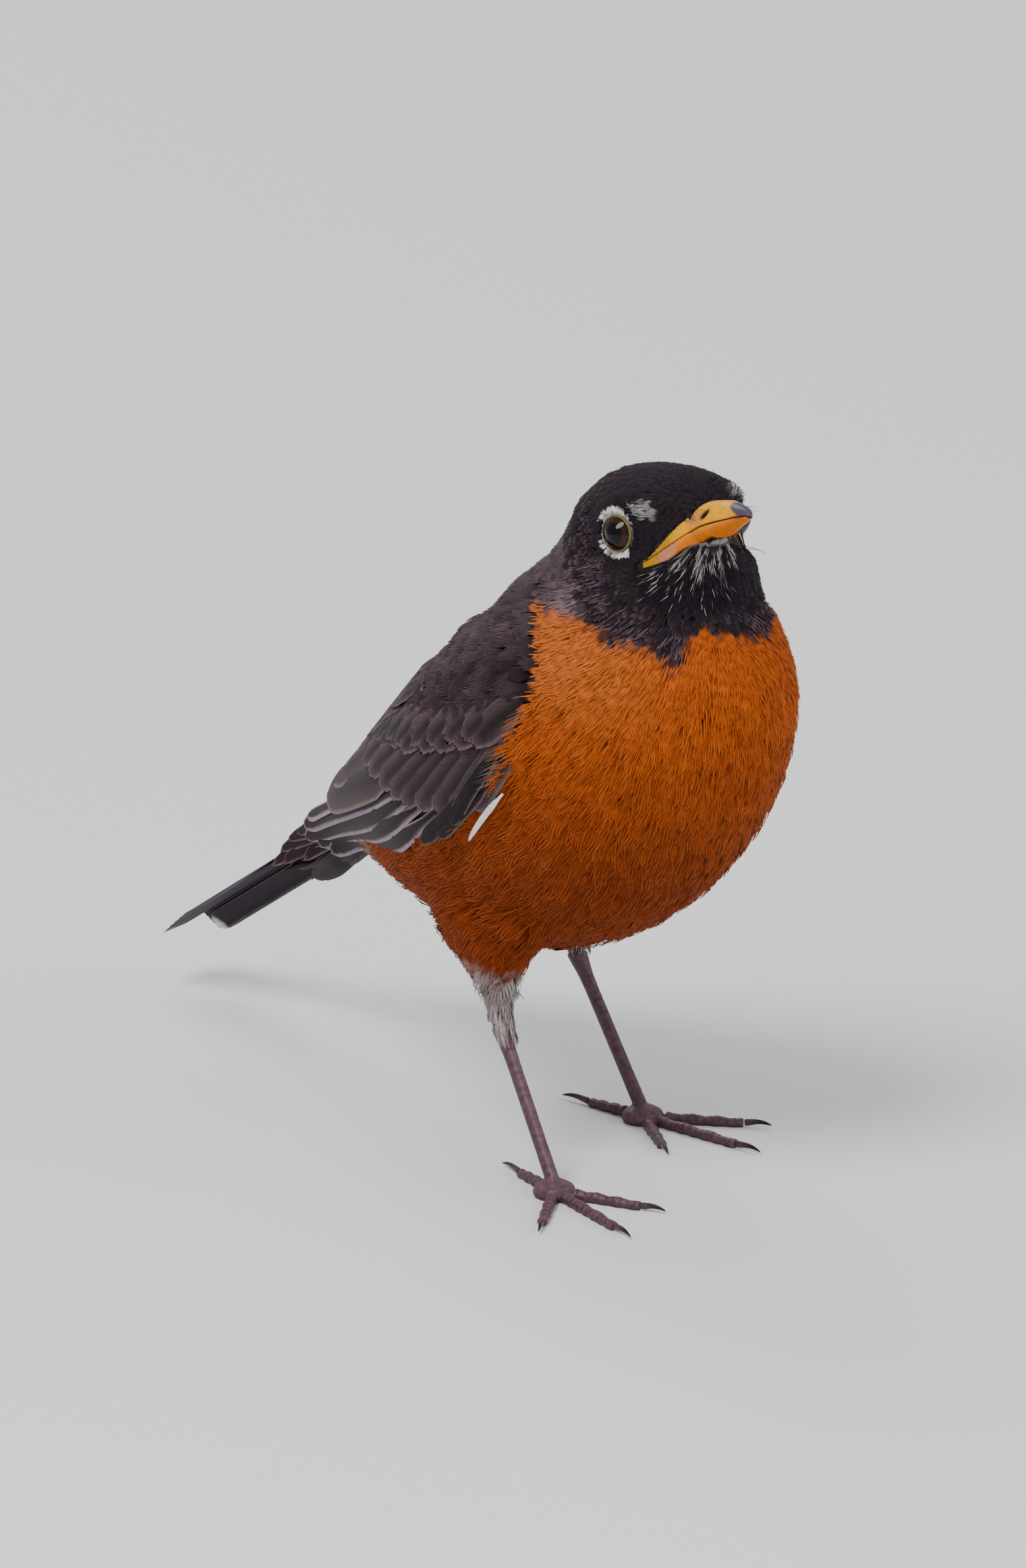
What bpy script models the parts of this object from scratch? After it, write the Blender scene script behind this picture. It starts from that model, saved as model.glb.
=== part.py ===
"""American robin standing on both feet: a still, life-size model. Sizes are in mm, then scaled to metres.

The bird looks along -Y, its left side is +X, and its toes stand on z = 0.
"""

import math

import bmesh
import bpy
import numpy as np
from mathutils import Matrix, Vector

MM = 0.001
GAP = 0.3  # clear space between neighbouring sub-parts

# Body stations from the tail tip to the face: forward and height of the back line, forward and height
# of the belly line, half width, and how far down from the back the widest line lies.
STATIONS = np.array([
    (-122.2, 23.1, -119.4, 13.2, 8.2, 0.50),
    (-102.2, 37.4, -97.4, 24.9, 9.8, 0.50),
    (-84.0, 47.6, -79.3, 33.8, 11.2, 0.50),
    (-68.8, 56.6, -63.0, 41.2, 12.8, 0.50),
    (-58.3, 64.5, -46.5, 40.5, 16.8, 0.50),
    (-48.7, 72.4, -29.5, 38.2, 22.1, 0.52),
    (-39.6, 80.2, -11.4, 37.4, 25.7, 0.53),
    (-31.0, 88.6, 7.6, 42.6, 27.4, 0.53),
    (-23.4, 96.4, 24.8, 53.7, 28.4, 0.53),
    (-16.2, 103.8, 38.2, 68.5, 28.4, 0.52),
    (-9.6, 109.7, 45.9, 84.0, 26.4, 0.50),
    (-2.4, 115.0, 47.6, 97.0, 21.4, 0.50),
    (1.6, 121.2, 45.0, 105.0, 17.3, 0.50),
    (5.0, 127.2, 42.2, 109.4, 16.4, 0.48),
    (10.4, 131.1, 41.0, 112.4, 15.1, 0.46),
    (16.6, 132.8, 40.7, 115.3, 13.3, 0.45),
    (23.0, 134.0, 41.0, 118.0, 11.9, 0.45),
    (29.3, 134.5, 41.4, 120.4, 10.6, 0.45),
    (35.0, 133.8, 42.2, 122.4, 8.4, 0.47),
    (39.6, 131.0, 43.0, 123.8, 4.7, 0.50),
])
RUMP_END = 2.1
RUMP_TAPER = 5.0  # how far the rump draws in to the root of the tail
TRUNK_NECK = 11.0
NECK_HEAD = 13.4
FACE = 19.0
HEAD_TURN = math.radians(-8)  # negative turns the bill to the bird's right
NECK_AXIS = 26.0  # forward position of the upright axis the head turns about

# Folded wing: stations of wrist and tip, then the angle from the back line of its two edges.
WRIST = 10.2
WING_TIP = 1.4
WING_ALONG = [0.0, 0.04, 0.14, 0.3, 0.5, 0.7, 0.85, 0.95, 1.0]
WING_UPPER = [60, 46, 34, 27, 24, 32, 50, 66, 78]
WING_LOWER = [86, 98, 103.5, 101.5, 98, 99, 102, 102, 96]
WING_THICK = [0.8, 2.0, 3.6, 4.6, 4.4, 3.4, 2.4, 1.5, 0.9]
THINNEST = 0.65
COVERT_END = 0.42
SECONDARY_END = 0.74
COVERT_SPLIT = 0.004  # shares of the wing left clear between its groups of feathers
WING_SPLIT = 0.012

# Tail: a low roof of feathers, from its root under the wing tips to its end.
TAIL_ROOT = (-81.4, 42.6)
TAIL_END = (-130.0, 19.6)
TAIL_HALF = (7.0, 9.6)
TAIL_THICK = (3.2, 1.3)
TAIL_ROOF = math.radians(35)
TAIL_CREST = 0.02  # how softly the roof turns over its middle
TAIL_CORNERS = 2.5  # how far the outer feathers stop short of the middle pair

# Bill, measured from the face along its own line.
BILL_TIP = (56.9, 133.2)
BILL_PITCH = math.radians(24)
BILL_LENGTH = 16.5
BILL_HALF = 4.6
CULMEN = 5.2
MANDIBLE = 3.3
BILL_SPLIT = 0.15  # the cutting edges lie this far above and below the bill's line
UPPER_LEAST = 0.35  # depths of the halves at their tips
LOWER_LEAST = 0.45
TIP_SLIM = 0.06  # share of the width left at the tip
UPPER_DROOP = 1.0
LOWER_DROOP = 0.75
LOWER_SHORT = 1.0

EYE_RADIUS = 4.2
EYE_CENTRE = (27.5, 9.2, 123.6)  # forward, to the side, height
SOCKET_SPARE = 0.25

# Legs: (forward, to the side, height) of ankle and foot, then the foot's heading outward.
LEGS = {
    "right": {"side": -1, "ankle": (-5.6, 15.7, 26.0), "foot": (14.9, 17.7), "splay": 6,
              "lean": -4, "bulk": 1.0},
    "left": {"side": 1, "ankle": (-32.1, 17.6, 28.0), "foot": (-14.7, 20.6), "splay": 12,
             "lean": 9, "bulk": 0.78},
}
THIGH_HEIGHT = [4, 8, 12, 15, 18, 22]
THIGH_LONG = [1.5, 1.8, 2.1, 3.5, 9.0, 14.5, 17, 18]  # half sizes, fore and aft
THIGH_WIDE = [1.3, 1.5, 1.8, 3.0, 5.0, 6.6, 8, 9]
PAD_RADIUS = 3.9
# Toes: angle from the foot's heading (outward), length, claw length.
TOES = {
    "inner": (-34, 13.0, 5.0),
    "middle": (0, 19.0, 6.0),
    "outer": (34, 14.0, 5.0),
    "hind": (180, 9.0, 7.0),
}
TOE_RADIUS = (1.0, 0.8)
CLAW_RADIUS = (0.62, 0.1)
CLAW_ARCH = 0.75


def world(forward, left, height):
    """A point of the bird's own frame, in model space and still in mm."""
    return np.stack(np.broadcast_arrays(left, -np.asarray(forward, float), height), axis=-1)


def ease(value, start, end):
    """0 before start, 1 after end, smooth between."""
    x = np.clip((np.asarray(value, float) - start) / (end - start), 0, 1)
    return x * x * (3 - 2 * x)


def station(at):
    """The body's six measures at a fractional station, by Catmull-Rom."""
    at = np.clip(np.asarray(at, float), 0, len(STATIONS) - 1.0001)
    base = at.astype(int)
    part = (at - base)[..., None]
    last = len(STATIONS) - 1
    a, b, c, d = (STATIONS[np.clip(base + k, 0, last)] for k in (-1, 0, 1, 2))
    return b + 0.5 * part * (c - a + part * (2 * a - 5 * b + 4 * c - d + part * (3 * (b - c) + d - a)))


def turned(points, amount):
    """Points turned about the neck's upright axis by a share of HEAD_TURN."""
    angle = HEAD_TURN * amount
    x, y = points[..., 0], points[..., 1] + NECK_AXIS
    turned_x = x * np.cos(angle) - y * np.sin(angle)
    turned_y = x * np.sin(angle) + y * np.cos(angle)
    return np.stack([turned_x, turned_y - NECK_AXIS, points[..., 2]], axis=-1)


def body(at, angle):
    """Surface point at a station; the angle runs from the back line (0) down the left side."""
    back_f, back_z, belly_f, belly_z, half, widest = np.moveaxis(station(at), -1, 0)
    cosine = np.cos(angle)
    down = np.where(cosine > 0, widest * (1 - cosine), widest - (1 - widest) * cosine)
    points = world(
        back_f + (belly_f - back_f) * down, half * np.sin(angle), back_z + (belly_z - back_z) * down
    )
    return turned(points, ease(at, TRUNK_NECK, NECK_HEAD + 1))


def raised(at, angle, height):
    """The body's surface pushed outward by a height."""
    step = 0.01
    along = body(at + step, angle) - body(at - step, angle)
    around = body(at, angle + step) - body(at, angle - step)
    normal = np.cross(along, around)
    normal /= np.linalg.norm(normal, axis=-1, keepdims=True)
    return body(at, angle) + normal * np.asarray(height)[..., None]


def material(name, colour, rough, metal=0.0):
    made = bpy.data.materials.new(name)
    made.use_nodes = True
    shader = made.node_tree.nodes["Principled BSDF"]
    shader.inputs["Base Color"].default_value = (*colour, 1)
    shader.inputs["Roughness"].default_value = rough
    shader.inputs["Metallic"].default_value = metal
    return made


def add_object(name, mesh, paint, collection):
    thing = bpy.data.objects.new(name, mesh)
    if paint:
        mesh.materials.append(paint)
    collection.objects.link(thing)
    return thing


def loft(name, rings, paint, collection):
    """A closed body through rings of one even point count; each end closes in strips from side to side."""
    rings = np.asarray(rings) * MM
    count, size = rings.shape[:2]
    made = bmesh.new()
    points = [[made.verts.new(point) for point in ring] for ring in rings]
    for low, high in zip(points, points[1:]):
        for i in range(size):
            j = (i + 1) % size
            made.faces.new((low[i], low[j], high[j], high[i]))
    for ring in (points[0], points[-1]):
        for i in range(size // 2 - 1):
            made.faces.new((ring[i], ring[i + 1], ring[size - 2 - i], ring[size - 1 - i]))
    bmesh.ops.recalc_face_normals(made, faces=made.faces)
    mesh = bpy.data.meshes.new(name)
    made.to_mesh(mesh)
    made.free()
    for face in mesh.polygons:
        face.use_smooth = True
    return add_object(name, mesh, paint, collection)


def body_rings(start, end, count, around, height=0.0):
    angles = (np.arange(around) + 0.5) / around * 2 * math.pi
    rings = []
    for at in np.linspace(start, end, count):
        drawn_in = RUMP_TAPER * (1 - ease(at, RUMP_END, RUMP_END + 1.6))
        rings.append(raised(np.full(around, at), angles, height - drawn_in))
    return rings


def tube_rings(path, half_length, half_width, around, side=None):
    """Oval rings square to a path; half_width lies along side, or level across the path."""
    path = np.asarray(path, float)
    lead = np.gradient(path, axis=0)
    lead /= np.linalg.norm(lead, axis=1, keepdims=True)
    rings = []
    for centre, ahead, tall, wide in zip(path, lead, half_length, half_width):
        across = np.cross(ahead, (0, 0, 1)) if side is None else side - ahead * (side @ ahead)
        across /= np.linalg.norm(across)
        upright = np.cross(across, ahead)
        angles = (np.arange(around) + 0.5) / around * 2 * math.pi
        rings.append(
            centre + np.cos(angles)[:, None] * upright * tall + np.sin(angles)[:, None] * across * wide
        )
    return rings


def apply_modifiers(thing):
    bpy.ops.object.select_all(action="DESELECT")
    bpy.context.view_layer.objects.active = thing
    thing.select_set(True)
    for modifier in list(thing.modifiers):
        bpy.ops.object.modifier_apply(modifier=modifier.name)


def cut(thing, cutter, how="DIFFERENCE"):
    boolean = thing.modifiers.new("cut", "BOOLEAN")
    boolean.operation = how
    boolean.solver = "EXACT"
    boolean.object = cutter
    apply_modifiers(thing)


def cut_at_floor(thing):
    """Cuts the solid off flat at z = 0."""
    made = bmesh.new()
    made.from_mesh(thing.data)
    every = made.verts[:] + made.edges[:] + made.faces[:]
    found = bmesh.ops.bisect_plane(
        made, geom=every, dist=1e-7, plane_co=(0, 0, 0), plane_no=(0, 0, -1), clear_outer=True
    )
    rim = [part for part in found["geom_cut"] if isinstance(part, bmesh.types.BMEdge)]
    bmesh.ops.edgenet_fill(made, edges=rim)
    bmesh.ops.recalc_face_normals(made, faces=made.faces)
    made.to_mesh(thing.data)
    made.free()


def side_name(side):
    return "left" if side > 0 else "right"


def build_body(parts, cutters, paints):
    half_gap = GAP / 2 / 12  # in stations, which lie about 12 mm apart here
    loft("trunk", body_rings(RUMP_END, TRUNK_NECK - half_gap, 20, 32), paints["trunk"], parts)
    loft(
        "neck",
        body_rings(TRUNK_NECK + half_gap, NECK_HEAD - 3 * half_gap, 6, 32),
        paints["neck"],
        parts,
    )
    head = loft(
        "head", body_rings(NECK_HEAD + 3 * half_gap, FACE, 13, 32), paints["head"], parts
    )
    for side in (1, -1):
        cut(head, eye_ball(f"socket_{side_name(side)}", side, EYE_RADIUS + SOCKET_SPARE, None, cutters))
        eye_ball(f"eye_{side_name(side)}", side, EYE_RADIUS, paints["eye"], parts)


def eye_ball(name, side, radius, paint, collection):
    forward, out, height = EYE_CENTRE
    centre = turned(world(forward, out * side, height), 1.0) * MM
    bpy.ops.mesh.primitive_uv_sphere_add(segments=18, ring_count=10, radius=radius * MM, location=centre)
    ball = bpy.context.object
    bpy.ops.object.transform_apply(location=True, rotation=True, scale=True)
    for old in list(ball.users_collection):
        old.objects.unlink(ball)
    collection.objects.link(ball)
    ball.name = name
    if paint:
        ball.data.materials.append(paint)
    return ball


def wing_edge(table, along):
    return np.interp(along, WING_ALONG, table)


def wing_solid(name, side, start, end, count, upper, lower, paint, collection):
    """One group of feathers: a shell over the flank between two shares of the wing's width."""
    rings = []
    for along in np.linspace(start, end, count):
        high, low = wing_edge(WING_UPPER, along), wing_edge(WING_LOWER, along)
        across = np.linspace(upper(along), lower(along), 9)
        angles = np.radians(high + (low - high) * across)
        at = np.full(9, WRIST + (WING_TIP - WRIST) * along)
        thick = wing_edge(WING_THICK, along) * (0.4 + 0.6 * np.sin(np.pi * across))
        thick = np.maximum(thick, THINNEST)
        outer = raised(at, angles, GAP + thick)
        inner = raised(at, angles, np.full(9, GAP))
        rings.append(np.concatenate([outer, inner[::-1]]) * (side, 1, 1))
    return loft(name, rings, paint, collection)


def secondary_edge(along):
    """Share of the width that the secondaries cover, narrowing to nothing at their tips."""
    return 0.78 * (1 - ease(along, COVERT_END, SECONDARY_END + 0.06)) + 0.02


def upper_edge(along):
    return 0.0


def lower_edge(along):
    return 1.0


def primary_edge(along):
    """Share of the width where the primaries start, just below the secondaries."""
    edge = secondary_edge(along) + WING_SPLIT
    return min(edge, 0.5) if along > SECONDARY_END else edge


def build_wings(parts, paints):
    for side in (1, -1):
        name = f"wing_{side_name(side)}_"
        start = COVERT_END + COVERT_SPLIT
        wing_solid(
            name + "coverts", side, 0.0, COVERT_END, 11, upper_edge, lower_edge, paints["coverts"], parts
        )
        wing_solid(
            name + "secondaries", side, start, SECONDARY_END, 9, upper_edge, secondary_edge,
            paints["secondaries"], parts,
        )
        wing_solid(
            name + "primaries", side, start, 1.0, 15, primary_edge, lower_edge, paints["primaries"], parts
        )


def build_tail(parts, paints):
    rings = []
    shares = np.linspace(-1, 1, 11)
    for step in np.linspace(0, 1, 9):
        forward = TAIL_ROOT[0] + (TAIL_END[0] - TAIL_ROOT[0]) * step
        height = TAIL_ROOT[1] + (TAIL_END[1] - TAIL_ROOT[1]) * step
        half = TAIL_HALF[0] + (TAIL_HALF[1] - TAIL_HALF[0]) * step
        thick = TAIL_THICK[0] + (TAIL_THICK[1] - TAIL_THICK[0]) * ease(step, 0, 0.5)
        drop = math.tan(TAIL_ROOF) * half * (np.sqrt(shares**2 + TAIL_CREST) - math.sqrt(TAIL_CREST))
        thin = thick * (1 - 0.5 * np.abs(shares))
        back = TAIL_CORNERS * ease(step, 0.8, 1) * shares**2
        top = world(forward + back, shares * half, height - drop + thin / 2)
        under = world(forward + back, shares * half, height - drop - thin / 2)
        rings.append(np.concatenate([top, under[::-1]]))
    loft("tail", rings, paints["tail"], parts)


def upper_crest(step):
    return UPPER_LEAST + (CULMEN - UPPER_LEAST) * (1 - step**1.7)


def lower_keel(step):
    return -LOWER_LEAST - (MANDIBLE - LOWER_LEAST) * (1 - step) ** 0.75


def bill_rings(length, half, top, under, droop):
    """Half-oval rings from the face to the tip, in the bill's own line."""
    rings = []
    for step in np.linspace(0, 1, 11):
        slim = (1 - step) ** 0.8 * (1 - TIP_SLIM) + TIP_SLIM
        wide = half * slim
        angles = np.linspace(0, math.pi, 9)
        bow = -droop * step**2.5
        across = wide * np.cos(angles)
        crest = top(step) * np.sin(angles) ** 0.9 + bow
        floor = under(step) * np.sin(angles) ** 0.9 + bow
        along = np.full(9, length * step)
        rings.append(
            np.concatenate([
                np.stack([along, across, crest], axis=-1),
                np.stack([along, across, floor], axis=-1)[::-1],
            ])
        )
    return np.array(rings)


def place_bill(rings):
    base_f = BILL_TIP[0] - BILL_LENGTH * math.cos(BILL_PITCH)
    base_z = BILL_TIP[1] + 0.9 - BILL_LENGTH * math.sin(BILL_PITCH)
    along, across, up = np.moveaxis(rings, -1, 0)
    forward = base_f + along * math.cos(BILL_PITCH) - up * math.sin(BILL_PITCH)
    height = base_z + along * math.sin(BILL_PITCH) + up * math.cos(BILL_PITCH)
    return turned(world(forward, across, height), 1.0)


def build_bill(parts, paints):
    upper = bill_rings(BILL_LENGTH, BILL_HALF, upper_crest, lambda step: BILL_SPLIT, UPPER_DROOP)
    lower = bill_rings(
        BILL_LENGTH - LOWER_SHORT, BILL_HALF * 0.94, lambda step: -BILL_SPLIT, lower_keel, LOWER_DROOP
    )
    loft("bill_upper", place_bill(upper), paints["bill"], parts)
    loft("bill_lower", place_bill(lower), paints["bill"], parts)


def build_leg(name, leg, parts, cutters, paints):
    side = leg["side"]
    ankle_f, ankle_out, ankle_z = leg["ankle"]
    foot_f, foot_out = leg["foot"]
    ankle = world(ankle_f, ankle_out * side, ankle_z)
    pad = world(foot_f, foot_out * side, 1.9)

    across = np.array((1.0, 0, 0))
    bulk = leg["bulk"]
    steps = np.array(THIGH_HEIGHT) / THIGH_HEIGHT[-1]
    top = world(leg["lean"], -1.0 * side, THIGH_HEIGHT[-1])
    shin = (pad - ankle) / np.linalg.norm(pad - ankle)
    rise = np.vstack([ankle - shin * GAP, ankle - shin * 1.5, ankle + steps[:, None] * top])
    thigh = loft(
        f"thigh_{name}",
        tube_rings(rise, np.array(THIGH_LONG) * bulk, np.array(THIGH_WIDE) * bulk, 16, across),
        paints["thigh"],
        parts,
    )
    cut(thigh, bpy.data.objects["trunk_spared"])

    steps = np.linspace(0, 1, 9)
    shank = ankle + steps[:, None] * (pad - ankle)
    knob = 1 + 0.28 * np.exp(-((steps / 0.1) ** 2)) + 0.1 * ease(steps, 0.8, 1)
    tarsus = loft(
        f"tarsus_{name}", tube_rings(shank, 1.3 * knob, 1.0 * knob, 10, across), paints["leg"], parts
    )
    bpy.ops.mesh.primitive_uv_sphere_add(segments=14, ring_count=6, radius=MM, location=Vector(pad * MM))
    base = bpy.context.object
    base.scale = (PAD_RADIUS, PAD_RADIUS, 2.2)
    base.location.z = 0.9 * MM
    bpy.ops.object.transform_apply(location=True, rotation=True, scale=True)
    for old in list(base.users_collection):
        old.objects.unlink(base)
    cutters.objects.link(base)
    base.name = f"pad_{name}"
    cut(tarsus, base, "UNION")
    cut_at_floor(tarsus)

    heading = math.radians(leg["splay"])
    for toe, (angle, length, claw) in TOES.items():
        course = heading + math.radians(angle)
        ahead = np.array((math.sin(course) * side, -math.cos(course), 0.0))
        steps = np.linspace(0, 1, 7)
        start = pad * (1, 1, 0) + ahead * (PAD_RADIUS + GAP)
        radius = TOE_RADIUS[0] + (TOE_RADIUS[1] - TOE_RADIUS[0]) * steps
        radius *= 1 + 0.1 * np.cos(steps * 3 * 2 * math.pi)
        line = start + steps[:, None] * ahead * length + np.array((0, 0, 1)) * (radius[:, None] * 0.82)
        made = loft(f"toe_{name}_{toe}", tube_rings(line, radius, radius, 8), paints["leg"], parts)
        cut_at_floor(made)
        build_claw(f"claw_{name}_{toe}", line[-1] + ahead * GAP, ahead, claw, parts, paints)


def build_claw(name, root, ahead, length, parts, paints):
    steps = np.linspace(0, 1, 6)
    lift = CLAW_ARCH * np.sin(steps * math.pi * 0.62) - steps**2 * (root[2] + 0.1)
    path = root + steps[:, None] * ahead * length + lift[:, None] * np.array((0, 0, 1))
    radius = CLAW_RADIUS[0] * (1 - steps) ** 0.7 + CLAW_RADIUS[1]
    path[:, 2] = np.maximum(path[:, 2], radius * 1.1 + 0.05)
    loft(name, tube_rings(path, radius * 1.1, radius * 0.85, 6), paints["claw"], parts)


def centre_on_origin(parts):
    """Slides the whole bird level, so that the middle of its bounds stands over the origin."""
    corners = np.array([vertex.co for thing in parts.objects for vertex in thing.data.vertices])
    middle = (corners.min(axis=0) + corners.max(axis=0)) / 2
    for thing in parts.objects:
        thing.data.transform(Matrix.Translation((-middle[0], -middle[1], 0)))


def build():
    for thing in list(bpy.data.objects):
        bpy.data.objects.remove(thing, do_unlink=True)
    scene = bpy.context.scene
    parts = bpy.data.collections.new("american_robin")
    cutters = bpy.data.collections.new("cutters")
    scene.collection.children.link(parts)
    scene.collection.children.link(cutters)
    cutters.hide_render = True
    paints = {
        "trunk": material("breast_feathers", (0.62, 0.2, 0.05), 0.8),
        "neck": material("neck_feathers", (0.06, 0.05, 0.06), 0.8),
        "head": material("hood_feathers", (0.03, 0.027, 0.035), 0.75),
        "eye": material("eye", (0.03, 0.015, 0.01), 0.05),
        "coverts": material("wing_coverts", (0.2, 0.17, 0.16), 0.75),
        "secondaries": material("secondaries", (0.16, 0.145, 0.15), 0.7),
        "primaries": material("primaries", (0.07, 0.062, 0.065), 0.65),
        "tail": material("tail_feathers", (0.05, 0.047, 0.055), 0.65),
        "bill": material("bill_horn", (0.75, 0.45, 0.12), 0.35),
        "thigh": material("thigh_feathers", (0.5, 0.47, 0.45), 0.85),
        "leg": material("leg_scales", (0.17, 0.11, 0.11), 0.5),
        "claw": material("claw_horn", (0.05, 0.04, 0.04), 0.4),
    }
    build_body(parts, cutters, paints)
    build_wings(parts, paints)
    build_tail(parts, paints)
    build_bill(parts, paints)
    loft("trunk_spared", body_rings(RUMP_END, TRUNK_NECK, 20, 32, GAP), None, cutters)
    for name, leg in LEGS.items():
        build_leg(name, leg, parts, cutters, paints)
    centre_on_origin(parts)
    for helper in cutters.objects:
        helper.hide_render = True
        helper.display_type = "WIRE"


build()
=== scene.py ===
"""Looks of the standing American robin: skin, plumage, eyes, bill, legs, floor and light. Metres."""

import math

import bpy
import numpy as np
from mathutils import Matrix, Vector
from mathutils.bvhtree import BVHTree
from mathutils.kdtree import KDTree


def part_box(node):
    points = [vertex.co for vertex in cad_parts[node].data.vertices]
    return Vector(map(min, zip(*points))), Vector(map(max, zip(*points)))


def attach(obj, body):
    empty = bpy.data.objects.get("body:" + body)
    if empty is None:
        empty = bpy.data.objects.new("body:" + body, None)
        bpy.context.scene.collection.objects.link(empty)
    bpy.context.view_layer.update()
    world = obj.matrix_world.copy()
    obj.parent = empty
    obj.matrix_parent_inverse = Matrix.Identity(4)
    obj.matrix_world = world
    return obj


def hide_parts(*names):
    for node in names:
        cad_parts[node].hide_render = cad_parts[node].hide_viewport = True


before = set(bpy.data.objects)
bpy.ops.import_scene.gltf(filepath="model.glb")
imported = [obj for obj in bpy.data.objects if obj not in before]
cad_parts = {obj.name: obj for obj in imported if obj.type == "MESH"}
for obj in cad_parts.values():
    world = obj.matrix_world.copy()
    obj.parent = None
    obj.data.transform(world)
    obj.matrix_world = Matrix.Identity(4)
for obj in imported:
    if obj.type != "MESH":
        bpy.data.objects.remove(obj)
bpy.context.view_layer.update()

# ---------------------------------------------------------------- skin
# The bird's hide: one closed skin over head, neck, trunk, thighs and the arm of each wing. It is thin
# bare skin and down. Copies of the flesh solids are swollen until they meet, remeshed as one, smoothed,
# and then drawn in by the depth of the plumage that lies on them.
MM = 0.001
SWELL = 0.3 * MM
VOXEL = 0.9 * MM
FLESH = ["head", "neck", "trunk", "thigh_left", "thigh_right", "wing_left_coverts", "wing_right_coverts"]
random = np.random.default_rng(11)


def select_only(*things):
    bpy.ops.object.select_all(action="DESELECT")
    for thing in things:
        thing.select_set(True)
    bpy.context.view_layer.objects.active = things[-1]


def apply_all(thing):
    select_only(thing)
    for modifier in list(thing.modifiers):
        bpy.ops.object.modifier_apply(modifier=modifier.name)


def twin(name, node):
    """A new object holding a merged copy of a CAD node's mesh."""
    made = bpy.data.objects.new(name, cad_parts[node].data.copy())
    bpy.context.scene.collection.objects.link(made)
    select_only(made)
    bpy.ops.object.mode_set(mode="EDIT")
    bpy.ops.mesh.select_all(action="SELECT")
    bpy.ops.mesh.customdata_custom_splitnormals_clear()
    bpy.ops.mesh.remove_doubles(threshold=1e-6)
    bpy.ops.object.mode_set(mode="OBJECT")
    made.data.materials.clear()
    return made


def rows_of(items, key, width, kind=np.float32):
    """One property of every item of a mesh, a row for each."""
    flat = np.empty(len(items) * width, kind)
    items.foreach_get(key, flat)
    return flat.reshape(-1, width)


def corners(thing):
    """Every vertex of an object, as an array in mm."""
    return rows_of(thing.data.vertices, "co", 3).astype(float) / MM


def set_corners(thing, points):
    thing.data.vertices.foreach_set("co", (points * MM).astype(np.float32).ravel())
    thing.data.update()


def vertex_normals(thing):
    return rows_of(thing.data.vertices, "normal", 3).astype(float)


def ease(value, start, end):
    """0 before start, 1 after end, smooth between."""
    share = np.clip((np.asarray(value, float) - start) / (end - start), 0, 1)
    return share * share * (3 - 2 * share)


def unit(vectors):
    return vectors / np.maximum(np.linalg.norm(vectors, axis=-1, keepdims=True), 1e-12)


def middle(node):
    low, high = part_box(node)
    return np.array((low + high) / 2) / MM


def rear_middle(node, share=0.12):
    """Centre of a CAD node's rearmost corners, in mm."""
    points = corners(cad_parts[node])
    back = points[:, 1].max() - share * np.ptp(points[:, 1])
    return points[points[:, 1] >= back].mean(axis=0)


def fuse(name, copies, voxel, growth):
    """Joins merged copies, grown a little, and remeshes them as one closed shell."""
    for piece in copies:
        swell = piece.modifiers.new("swell", "DISPLACE")
        swell.mid_level = 0
        swell.strength = growth
        apply_all(piece)
    select_only(*copies)
    bpy.ops.object.join()
    fused = bpy.context.object
    fused.name = name
    remesh = fused.modifiers.new("fuse", "REMESH")
    remesh.mode = "VOXEL"
    remesh.voxel_size = voxel
    apply_all(fused)
    return fused


def smooth_out(thing, factor, times, weights=None):
    """Smooths an object, by a weight for each vertex where they are given."""
    smooth = thing.modifiers.new("smooth", "SMOOTH")
    smooth.factor = factor
    smooth.iterations = times
    if weights is not None:
        softness = thing.vertex_groups.new(name="softness")
        for index, weight in enumerate(weights):
            softness.add([index], float(weight), "REPLACE")
        smooth.vertex_group = "softness"
    apply_all(thing)


# The head's own directions, from the eyes and the tip of the bill.
EYES = {"left": middle("eye_left"), "right": middle("eye_right")}
EYE_RADIUS = float(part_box("eye_left")[1].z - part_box("eye_left")[0].z) / 2 / MM
BILL_TIP = corners(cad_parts["bill_upper"])
BILL_TIP = BILL_TIP[BILL_TIP[:, 1].argmin()]
TO_LEFT = unit(EYES["left"] - EYES["right"])
BILL_BASE = rear_middle("bill_upper")
AHEAD = unit((BILL_TIP - BILL_BASE) * (1, 1, 0))
AHEAD = unit(AHEAD - TO_LEFT * (AHEAD @ TO_LEFT))
UPWARD = np.cross(AHEAD, TO_LEFT)
MIDLINE = float(middle("trunk")[0])
EYE_OUT = 0.5
EYE_BACK = 0.5
EYES["left"] = EYES["left"] + TO_LEFT * EYE_OUT - AHEAD * EYE_BACK
EYES["right"] = EYES["right"] - TO_LEFT * EYE_OUT - AHEAD * EYE_BACK
EYE_FORWARD = math.radians(24)
EYE_UPWARD = math.radians(5)
BILL_PITCH = math.radians(24)
BILL_AHEAD = AHEAD * math.cos(BILL_PITCH) + UPWARD * math.sin(BILL_PITCH)
BILL_UP = np.cross(BILL_AHEAD, TO_LEFT)


def eye_frame(side):
    """An eye's outward axis, then its directions toward the bill and up."""
    out = TO_LEFT if side == "left" else -TO_LEFT
    level = out * math.cos(EYE_FORWARD) + AHEAD * math.sin(EYE_FORWARD)
    axis = level * math.cos(EYE_UPWARD) + UPWARD * math.sin(EYE_UPWARD)
    front = unit(AHEAD - axis * (AHEAD @ axis))
    return axis, front, unit(UPWARD - axis * (UPWARD @ axis) - front * (UPWARD @ front))


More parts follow.
